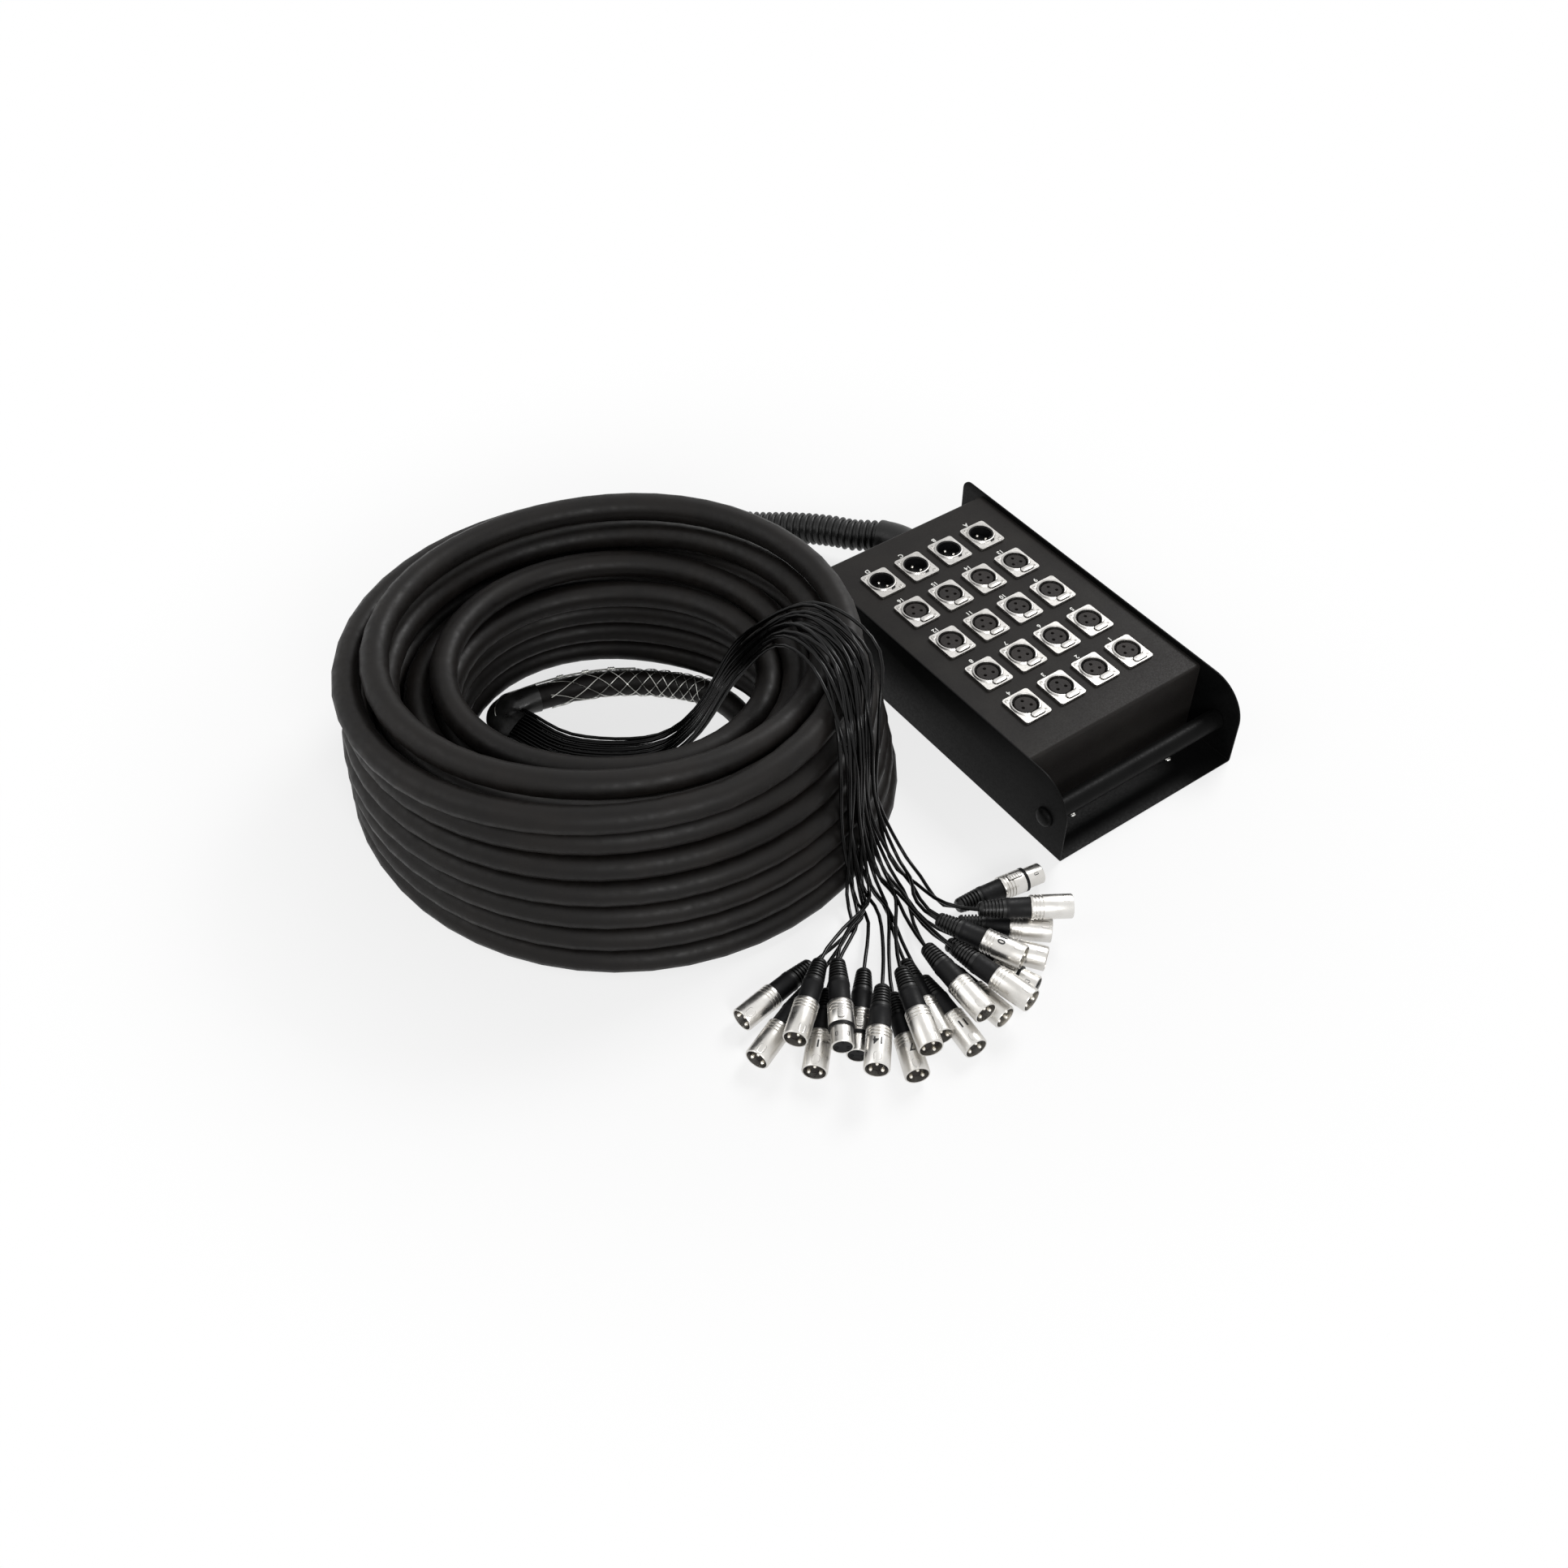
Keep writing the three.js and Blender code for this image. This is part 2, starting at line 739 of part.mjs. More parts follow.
// Centre line of the coil, loop by loop, at a number of steps a turn.
function coilStations(steps) {
  const points = [];
  let turn = startTurn;
  winding.forEach(([turns, fromRow, toRow, fromLayer, toLayer], stretch) => {
    const count = Math.round(turns * steps);
    const isLast = stretch === winding.length - 1;
    for (let i = 0; i < count + (isLast ? 1 : 0); i += 1) {
      const share = i / count;
      const isStepped = fromLayer === steppedLayer && toLayer === steppedLayer;
      const climb = isStepped ? steppedShare(share, turns) : share;
      const row = THREE.MathUtils.lerp(fromRow, toRow, climb);
      const eased = THREE.MathUtils.smoothstep(share, 0, 1);
      const radii = [fromLayer, toLayer].map((layer) => layerRadius(layer, row));
      const radius = THREE.MathUtils.lerp(...radii, eased);
      const rises = fromLayer !== toLayer && fromRow > 0;
      const rise = rises ? crossoverRise * Math.sin(Math.PI * share) : 0;
      points.push(coilPoint(turn + turns * share, radius, row, rise));
    }
    turn += turns;
  });
  return points;
}

// Share of the climb at a share of a stretch whose turns lie level and then step up.
function steppedShare(share, turns) {
  const turned = share * turns;
  const whole = Math.floor(turned);
  return (whole + THREE.MathUtils.smoothstep(turned - whole, stepStart, 1)) / turns;
}

// Radius of a layer at a row.
function layerRadius(layer, row) {
  const radii = layerRadii[layer];
  const upper = Math.max(1, layerRows.findIndex((value) => value >= row));
  const share = (row - layerRows[upper - 1]) / (layerRows[upper] - layerRows[upper - 1]);
  return THREE.MathUtils.lerp(radii[upper - 1], radii[upper], share);
}

// How far a loop swells beyond its radius at an angle and a height.
function swell(angle, height) {
  return floorSwell.reduce((sum, low, i) => {
    const wave = (i + 1) * angle;
    const cosine = THREE.MathUtils.lerp(low[0], topSwell[i][0], height);
    const sine = THREE.MathUtils.lerp(low[1], topSwell[i][1], height);
    return sum + cosine * Math.cos(wave) + sine * Math.sin(wave);
  }, 0);
}

// A point of the coil's centre line: its loops aren't quite round and lean as they climb.
function coilPoint(turn, radius, row, rise) {
  const angle = 2 * Math.PI * turn;
  const height = row / topRow;
  const reach = radius + swell(angle, height);
  return new THREE.Vector3(
    coilCentre.x + coilLean * height + reach * Math.cos(angle),
    coilCentre.y + reach * Math.sin(angle),
    cableDiameter / 2 + fit + rowHeight * row + rise,
  );
}

// The coil's stations with its straight ends.
function coilRoute() {
  const loops = coilStations(stepsPerLoop);
  const back = loops[0].clone().sub(loops[1]).setZ(0).normalize();
  const on = loops.at(-1).clone().sub(loops.at(-2)).setZ(0).normalize();
  const rise = new THREE.Vector3(0, 0, conduitRadius - cableDiameter / 2);
  const inConduit = [leadDiameters + 1, leadDiameters - 1].map((share) =>
    loops[0].clone().addScaledVector(back, share * cableDiameter).add(rise),
  );
  return [...inConduit, ...loops, loops.at(-1).clone().addScaledVector(on, cableDiameter)];
}

// Least air between two stretches of the coil that lie at least half a loop apart.
function coilGap(stations) {
  let least = Infinity;
  stations.forEach((point, i) => {
    for (let j = i + Math.round(stepsPerLoop / 2); j < stations.length; j += 1) {
      least = Math.min(least, point.distanceTo(stations[j]) - cableDiameter);
    }
  });
  return least;
}

// The ribbed conduit: an outer skin of ribs and a plain bore, closed by rings at both ends.
function conduit(route) {
  const line = new THREE.CatmullRomCurve3(route, false, "centripetal");
  const ribs = Math.round(line.getLength() / ribPitch);
  const stations = line.getSpacedPoints(2 * ribs);
  const radii = stations.map((_, i) => (i % 2 ? conduitRadius : conduitGroove));
  const outer = ringsAlong(stations, radii, ribSides);
  const bore = ringsAlong(stations, stations.map(() => conduitBore), ribSides);
  const last = stations.length - 1;
  const kept = bore.filter((_, i) => i === last || i % (2 * ribsPerBoreRing) === 0);
  console.log("conduit", ribs, "ribs,", Math.round(line.getLength()), "mm");
  return skin([...outer, ...kept.reverse()], true);
}

// The breakout boot, lofted from its round end on the multicore to its flat mouth.
function breakoutBoot() {
  const [before, end] = vectors(freeEndRoute).slice(-2);
  const away = end.clone().sub(before).normalize();
  const collar = [fit, bootCollar].map((reach) => end.clone().addScaledVector(away, reach));
  const stations = [...collar, ...vectors(bootRoute)];
  const ahead = headings(stations);
  const rings = stations.map((point, i) => {
    const share = i / (stations.length - 1);
    const side = new THREE.Vector3(0, 0, 1).cross(ahead[i]).normalize();
    const up = ahead[i].clone().cross(side);
    const width = THREE.MathUtils.lerp(bootRadius, mouthHalfWidth, share * share);
    const height = THREE.MathUtils.lerp(bootRadius, mouthHalfHeight, share);
    return Array.from({ length: bootSides }, (_, k) => {
      const angle = (2 * Math.PI * k) / bootSides;
      return point
        .clone()
        .addScaledVector(side, width * Math.cos(angle))
        .addScaledVector(up, height * Math.sin(angle));
    });
  });
  return skin(rings);
}

// Frame of a plug that lies with its boot's end at a place, its nose towards its heading.
function plugFrame([x, y, heading, height]) {
  return new THREE.Matrix4()
    .makeTranslation(x, y, height)
    .multiply(new THREE.Matrix4().makeRotationZ(THREE.MathUtils.degToRad(heading)));
}

// Stations of one tail, from the boot's mouth along the bundle to the end of its plug's boot.
function tailStations(index) {
  const end = tailEnds[index];
  const column = Math.floor(index / 2) - (tailEnds.length / 2 - 1) / 2;
  const layer = index % 2;
  const centres = bundleRun.map(([x, y, z]) => new THREE.Vector3(x, y, z));
  const ahead = headings(centres);
  ahead.at(-1).setZ(0).normalize();
  const stations = centres.map((centre, i) => {
    const [, , , nx, ny, nz, spread] = bundleRun[i];
    const away = new THREE.Vector3(nx, ny, nz).normalize();
    const side = away.clone().cross(ahead[i]).normalize();
    const up = ahead[i].clone().cross(side);
    return centre
      .clone()
      .addScaledVector(side, (column + layer / 2) * tailPitch * spread)
      .addScaledVector(up, layer * tailLayerRise * spread);
  });
  const start = stations.at(-1);
  const direction = new THREE.Vector3(1, 0, 0).transformDirection(plugFrame(end));
  const pull = end[5] ?? fanPull;
  const clearance = end[4] ? -fit : overlap;
  const finishPoint = new THREE.Vector3(end[0], end[1], end[3]).addScaledVector(direction, clearance);
  const square = finishPoint.clone().addScaledVector(direction, -2 * tailDiameter);
  const bend = new THREE.CubicBezierCurve3(
    start,
    start.clone().addScaledVector(ahead.at(-1), pull),
    square.clone().addScaledVector(direction, -pull),
    square,
  );
  return [...stations, ...bend.getPoints(bendSteps).slice(1), finishPoint];
}

// Outline shared by every plug: boot, back shell and the start of the metal shell.
function plugBack() {
  const back = plugBootLength + plugBackLength;
  return [
    [0, 0],
    [plugBootTailRadius, 0],
    [plugBootRadius, plugBootLength],
    [plugBackRadius, back],
    [plugShellRadius, back],
  ];
}

// An input tail's plug, its nose open, along +X from its boot's end.
function inputPlug() {
  const tip = plugBootLength + plugBackLength + plugShellLength;
  return turned(
    [
      ...plugBack(),
      [plugShellRadius, tip],
      [plugWellRadius, tip],
      [plugWellRadius, tip - plugWellDepth],
      [0, tip - plugWellDepth],
    ],
    plugSides,
  ).rotateY(Math.PI / 2);
}

// Places along a return plug.
const returnRingAt = plugBootLength + plugBackLength + plugShellLength - noseLength + noseRing;
const returnTip = returnRingAt + noseRing + noseLength;

// A return tail's plug with its ring, narrower nose and the pocket of its latch.
function returnPlug() {
  const body = turned(
    [
      ...plugBack(),
      [plugShellRadius, returnRingAt],
      [noseRingRadius, returnRingAt],
      [noseRingRadius, returnRingAt + noseRing],
      [noseRadius, returnRingAt + noseRing],
      [noseRadius, returnTip],
      [noseDishRadius, returnTip],
      [noseDishRadius, returnTip - noseDish],
      [0, returnTip - noseDish],
    ],
    plugSides,
  ).rotateY(Math.PI / 2);
  const pocket = plugLatchBlock(fit, plugLatchTravel + fit, overrun);
  return geometryOf(solid(body).subtract(solid(pocket)));
}

// The latch of a return plug, or its pocket with margins at its sides, below and above.
function plugLatchBlock(margin, below, above) {
  const end = returnRingAt - fit - noseRing;
  const top = plugShellRadius + plugLatchProud;
  return block(
    [end - plugLatchLength - margin, -plugLatchWidth / 2 - margin, top - plugLatchHeight - below],
    [end + margin, plugLatchWidth / 2 + margin, top + above],
  );
}

// Twenty sockets and the sixteen release tabs.
function addSockets() {
  const input = inputSocket();
  const output = returnSocket();
  const tab = tabBlock(0, flangeThickness + tabProud - tabHeight, flangeThickness + tabProud);
  for (const { x, y, isReturn, label } of socketList()) {
    const place = new THREE.Group();
    place.position.set(x, y, panelTop + fit);
    group.add(place);
    if (isReturn) {
      piece("return_socket_" + label, output.clone(), nickel, place);
    } else {
      piece("input_socket_" + label, input.clone(), nickel, place);
      piece("input_latch_" + label, tab.clone(), nickel, place);
    }
  }
}

// Tray, panel, handle and outlet.
function addBox() {
  piece("housing_tray", housingTray(), blackSteel);
  piece("connector_panel", connectorPanel(), panelPaint);
  piece("handle_bar", handleBar(), blackSteel);
  for (const [side, sign] of [["left", -1], ["right", 1]]) {
    const bolt = piece("handle_bolt_" + side, handleBolt(), blackSteel);
    bolt.position.set(sign * (trayWidth / 2 + fit), barY, barZ);
    bolt.rotation.y = (sign * Math.PI) / 2;
  }
  piece("cable_sleeve", cableSleeve(), rubber);
  piece("outlet_clamp", outletClamp(), blackNylon);
  piece("inner_loom", innerLoom(), blackSheath);
}

// Conduit, coil, free end, grip and boot.
function addMulticore() {
  const coil = coilRoute();
  console.log("least gap of the coil to itself", coilGap(coil.slice(2, -1)).toFixed(2), "mm");
  piece("multicore_coil", tube(coil, cableDiameter / 2, cableSides), blackSheath);
  const mouth = coil[0].clone().lerp(coil[1], 0.5);
  const lead = coil[0].clone().lerp(coil[1], -1);
  const route = [...vectors(conduitRoute), lead, coil[0], mouth];
  const [beforeTip, tip] = vectors(sleeveRoute).slice(-2);
  const away = tip.clone().sub(beforeTip).normalize();
  const starts = [2 * fit, sleeveStraight].map((reach) => tip.clone().addScaledVector(away, reach));
  route.unshift(...starts);
  piece("corrugated_conduit", conduit(route), rubber);

  const [beforeEnd, coilEnd] = coil.slice(-2);
  const ahead = coilEnd.clone().sub(beforeEnd).normalize();
  const joint = coilEnd.clone().addScaledVector(ahead, fit);
  const straight = joint.clone().addScaledVector(ahead, sleeveStraight);
  const free = [joint, straight, ...vectors(freeEndRoute)];
  piece("multicore_end", tube(free, cableDiameter / 2, ribSides), blackSheath);
  const grip = free.slice(gripFrom, gripTo + 1);
  const bore = cableDiameter / 2 + 2 * fit;
  piece("pulling_grip", tube(grip, bore + gripWall, ribSides, bore), wire);
  piece("breakout_boot", breakoutBoot(), rubber);
}

// The tails in three looms, with the input plugs joined to them and the return plugs apart.
function addTails() {
  const plug = inputPlug();
  const ends = returnPlug();
  const latch = plugLatchBlock(0, 0, 0);
  for (const [name, [from, to]] of Object.entries(looms)) {
    let loom = null;
    for (let index = from; index < to; index += 1) {
      const frame = plugFrame(tailEnds[index]);
      const letter = tailEnds[index][4];
      let tail = solid(tube(tailStations(index), tailDiameter / 2, tailSides));
      if (letter) {
        piece("return_plug_" + letter, ends.clone().applyMatrix4(frame), nickel);
        piece("return_plug_latch_" + letter, latch.clone().applyMatrix4(frame), nickel);
      } else {
        tail = tail.add(solid(plug.clone().applyMatrix4(frame)));
      }
      loom = loom ? loom.add(tail) : tail;
    }
    piece(name, geometryOf(loom.add(solid(throat(from, to)))), blackSheath);
  }
}

// The moulded throat that holds a loom's tails together at the boot's mouth.
function throat(from, to) {
  const starts = [];
  for (let index = from; index < to; index += 1) starts.push(tailStations(index).slice(0, 2));
  const centre = new THREE.Vector3();
  starts.forEach(([point]) => centre.addScaledVector(point, 1 / starts.length));
  const ahead = starts[0][1].clone().sub(starts[0][0]).normalize();
  const side = new THREE.Vector3(0, 0, 1).cross(ahead).normalize();
  const reach = Math.max(...starts.map(([point]) => Math.abs(point.clone().sub(centre).dot(side))));
  const up = ahead.clone().cross(side);
  const half = [tailDiameter / 2, reach, tailLayerRise / 2 + tailDiameter / 4];
  return new THREE.BoxGeometry(2 * half[0], 2 * half[1], 2 * half[2])
    .applyMatrix4(new THREE.Matrix4().makeBasis(ahead, side, up))
    .translate(...centre.addScaledVector(ahead, half[0] - overlap).toArray());
}

addBox();
addSockets();
addMulticore();
addTails();

export default group;
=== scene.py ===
"""Stage box with its multicore snake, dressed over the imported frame.

The box is a folded steel tray with a folded connector panel, twenty panel sockets and a
handle bar. A ribbed conduit leads to a coil of multicore, whose free end breaks out into
twenty tails with their cable plugs. Sizes are in millimetres and become metres in Shape.piece.
"""

from __future__ import annotations

import json
import logging
import math
from dataclasses import dataclass
from enum import Enum
from typing import Iterable, Sequence

import bmesh
import bpy
import numpy as np
from mathutils import Matrix, Vector

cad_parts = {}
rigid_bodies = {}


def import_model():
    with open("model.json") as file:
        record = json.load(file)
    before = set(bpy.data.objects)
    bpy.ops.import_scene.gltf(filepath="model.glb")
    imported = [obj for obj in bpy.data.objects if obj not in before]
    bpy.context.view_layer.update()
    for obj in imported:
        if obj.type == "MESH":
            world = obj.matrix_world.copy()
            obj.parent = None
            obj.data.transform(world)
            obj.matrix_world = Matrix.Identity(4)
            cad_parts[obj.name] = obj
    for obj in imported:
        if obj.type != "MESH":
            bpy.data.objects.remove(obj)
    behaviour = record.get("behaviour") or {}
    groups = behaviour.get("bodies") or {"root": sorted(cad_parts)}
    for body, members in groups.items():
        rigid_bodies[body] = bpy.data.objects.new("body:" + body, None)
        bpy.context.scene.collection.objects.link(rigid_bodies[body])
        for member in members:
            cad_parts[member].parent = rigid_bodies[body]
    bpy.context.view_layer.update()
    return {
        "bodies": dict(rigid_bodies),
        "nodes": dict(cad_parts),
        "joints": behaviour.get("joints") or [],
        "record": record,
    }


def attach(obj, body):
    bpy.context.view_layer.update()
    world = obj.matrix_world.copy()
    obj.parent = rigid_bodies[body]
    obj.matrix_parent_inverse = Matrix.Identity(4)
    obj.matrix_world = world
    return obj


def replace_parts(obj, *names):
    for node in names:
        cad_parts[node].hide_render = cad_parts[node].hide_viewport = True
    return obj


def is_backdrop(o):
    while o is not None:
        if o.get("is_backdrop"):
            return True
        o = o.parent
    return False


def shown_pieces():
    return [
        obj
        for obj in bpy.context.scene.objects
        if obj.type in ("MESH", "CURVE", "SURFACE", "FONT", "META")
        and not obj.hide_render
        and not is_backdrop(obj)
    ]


LOG = logging.getLogger("stage_box")
MM = 0.001
BOX = "box"
STEP_START = 0.7  # share of a turn of the outermost layer that lies level
PLUG_CONTACTS = (90, 210, 330)  # angles of a plug's three contacts, in degrees
SOCKET_CONTACTS = (85, 205, 325)  # and of a socket's
PIN_CIRCLE = 4.75  # how far pins stand from the middle
HOLE_CIRCLE = 4.4  # and how far contact holes lie from it
OUTLET_X, OUTLET_Z = 22, 36  # where the conduit leaves the rear wall
FINE_STEPS = 12  # points that a smooth line gets between two given ones
Point = Sequence[float]
Pair = tuple[float, float]
Line = Sequence[Vector]
Frame = tuple[Vector, Vector, Vector]
Piece = bpy.types.Object
NodeTree = bpy.types.NodeTree
NodeSocket = bpy.types.NodeSocket


class Cut(Enum):
    """Which part of a body a boolean keeps: what is outside or inside the tool."""

    OUTSIDE = "DIFFERENCE"
    INSIDE = "INTERSECT"


class Kind(Enum):
    """What a plug or a socket carries."""

    INPUT = "input"
    RETURN = "return"


# Colours, nodes and finishes


def linear(code: str) -> tuple[float, ...]:
    """Linear red, green, blue and alpha of an sRGB hex code such as "#1b1b1c"."""
    parts = [int(code[i : i + 2], 16) / 255 for i in (1, 3, 5)]
    return (*(v / 12.92 if v <= 0.04045 else ((v + 0.055) / 1.055) ** 2.4 for v in parts), 1.0)


def add_node(
    tree: NodeTree,
    kind: str,
    links: dict[str | int, object] | None = None,
    **settings: object,
) -> bpy.types.Node:
    """Adds a node with its settings, and links or sets its inputs.

    Args:
        tree: The tree that gets the node.
        kind: The node's type name.
        links: Inputs by name or number; a socket is linked and any other value is set.
        settings: Attributes of the node.

    Returns:
        The new node.
    """
    node = tree.nodes.new(kind)
    for name, value in settings.items():
        setattr(node, name, value)
    for key, value in (links or {}).items():
        if isinstance(value, NodeSocket):
            tree.links.new(value, node.inputs[key])
        else:
            node.inputs[key].default_value = value
    return node


def empty_tree(owner: bpy.types.Material | bpy.types.World) -> NodeTree:
    """The emptied node tree of a material or a world."""
    owner.use_nodes = True
    owner.node_tree.nodes.clear()
    return owner.node_tree


@dataclass(frozen=True)
class Finish:
    """A real finish: its colour, its gloss and the pattern that the eye finds on it."""

    name: str
    colour: str
    worn: str
    roughness: float
    grain_mm: float
    bump_mm: float
    slot: str = "black_steel"
    metallic: float = 0.0
    specular: float = 0.5
    spread: float = 0.08

    def material(self) -> bpy.types.Material:
        """The finish as a material, made once."""
        return bpy.data.materials.get(self.name) or self._make()

    def _make(self) -> bpy.types.Material:
        """The new material with its node tree."""
        material = bpy.data.materials.new(self.name)
        tree = empty_tree(material)
        place = add_node(tree, "ShaderNodeTexCoord").outputs["Object"]
        # Noise has about two features a unit, so the scale is half of one over the grain,
        grain = {"Vector": place, "Scale": 0.5 / (self.grain_mm * MM), "Detail": 3.0}
        fine = add_node(tree, "ShaderNodeTexNoise", grain).outputs["Fac"]
        # and the patches of tone are about 18 mm wide
        clouds = {"Vector": place, "Scale": 28.0, "Detail": 4.0, "Roughness": 0.6}
        broad = add_node(tree, "ShaderNodeTexNoise", clouds).outputs["Fac"]
        patches = {"Value": broad, "From Min": 0.4, "From Max": 0.72}
        share = add_node(tree, "ShaderNodeMapRange", patches).outputs["Result"]
        tones = {0: share, 6: linear(self.colour), 7: linear(self.worn)}
        least, most = max(0.02, self.roughness - self.spread), self.roughness + self.spread
        gloss = {"Value": fine, "From Min": 0.3, "From Max": 0.7, "To Min": least, "To Max": most}
        bump = {"Height": fine, "Distance": self.bump_mm * MM, "Strength": 0.6}
        look = {
            "Base Color": add_node(tree, "ShaderNodeMix", tones, data_type="RGBA").outputs[2],
            "Roughness": add_node(tree, "ShaderNodeMapRange", gloss).outputs["Result"],
            "Normal": add_node(tree, "ShaderNodeBump", bump).outputs["Normal"],
            "Metallic": self.metallic,
            "Specular IOR Level": self.specular,
        }
        shader = add_node(tree, "ShaderNodeBsdfPrincipled", look)
        add_node(tree, "ShaderNodeOutputMaterial", {"Surface": shader.outputs[0]})
        return material


# Powder-coated mild steel: near black, satin, with the fine orange peel of sprayed powder
POWDER_COAT = Finish("powder_coated_steel", "#090909", "#101010", 0.44, 0.9, 0.05, specular=0.06)
# Satin alkyd paint on sheet steel: dark warm grey, a finer and flatter grain than powder
PANEL_PAINT = Finish(
    "satin_painted_steel", "#1f1d1c", "#262422", 0.5, 0.6, 0.03, "panel_paint", specular=0.1
)
# Satin nickel plate on die-cast zinc: bright and warm, with soft reflections
NICKEL = Finish(
    "satin_nickel_plate", "#b9b7b4", "#aeaca8", 0.36, 0.9, 0.008, "nickel", 1.0, spread=0.07
)
# Drawn nickel-plated shell: brighter and smoother, with faint rubbed patches
NICKEL_SHELL = Finish(
    "drawn_nickel_shell", "#dad8d4", "#c6c3be", 0.31, 3.0, 0.008, "nickel", 1.0, spread=0.06
)
# Glass-filled nylon, moulded: black with a dull, slightly cloudy skin
# The same black also paints shade: the sheets in plug slots and the block at a keyway
NYLON = Finish("moulded_nylon", "#0d0d0e", "#141415", 0.5, 1.2, 0.03, "black_nylon", specular=0.16)
# The same nylon in a lighter grey, on a socket's contact insert and a plug's well floor
INSERT = Finish(
    "grey_nylon_insert", "#1f1c1b", "#2b2725", 0.62, 0.8, 0.04, "black_nylon", specular=0.2
)
# Extruded PVC sheath of the multicore: black, matte, with a soft grazing shine
SHEATH = Finish(
    "matte_pvc_sheath", "#0f0d0c", "#171412", 0.5, 3.0, 0.08, "black_sheath", specular=0.2
)
# Soft PVC of the thin tails: glossy black
TAIL_PVC = Finish(
    "glossy_pvc_tail", "#060606", "#0a0a0a", 0.18, 2.0, 0.005, "black_sheath", specular=0.18
)
# Moulded rubber of sleeve, conduit and plug boots: black with a dull shine
RUBBER = Finish(
    "moulded_rubber", "#0d0d0d", "#151515", 0.42, 1.5, 0.04, "black_rubber", specular=0.34
)
# Shrunk polyolefin of the breakout boot: dark grey with a waxy, uneven sheen
SHRINK = Finish(
    "shrunk_polyolefin", "#191918", "#232322", 0.38, 4.0, 0.25, "black_rubber", spread=0.12
)
# Galvanised steel wire of the grip
WIRE = Finish("galvanised_wire", "#cfcfca", "#a8a8a2", 0.32, 1.0, 0.01, "grip_wire", 1.0)
# Silver-plated contacts
CONTACT = Finish("silver_plated_contact", "#efebe3", "#dcd8ce", 0.2, 1.0, 0.01, "nickel", 1.0)
# Screen-printed ink: white on the panel and black on the shells
WHITE_INK = Finish("white_screen_ink", "#f2f2ee", "#e2e2dc", 0.6, 0.4, 0.01, "panel_paint")
BLACK_INK = Finish("black_pad_ink", "#1b1b1c", "#2b2b2b", 0.5, 0.4, 0.01, "nickel")
# Zinc-plated screw heads
ZINC = Finish("zinc_plated_screw", "#d9d8d4", "#bdbcb8", 0.3, 1.0, 0.02, "nickel", 1.0)


# Meshes


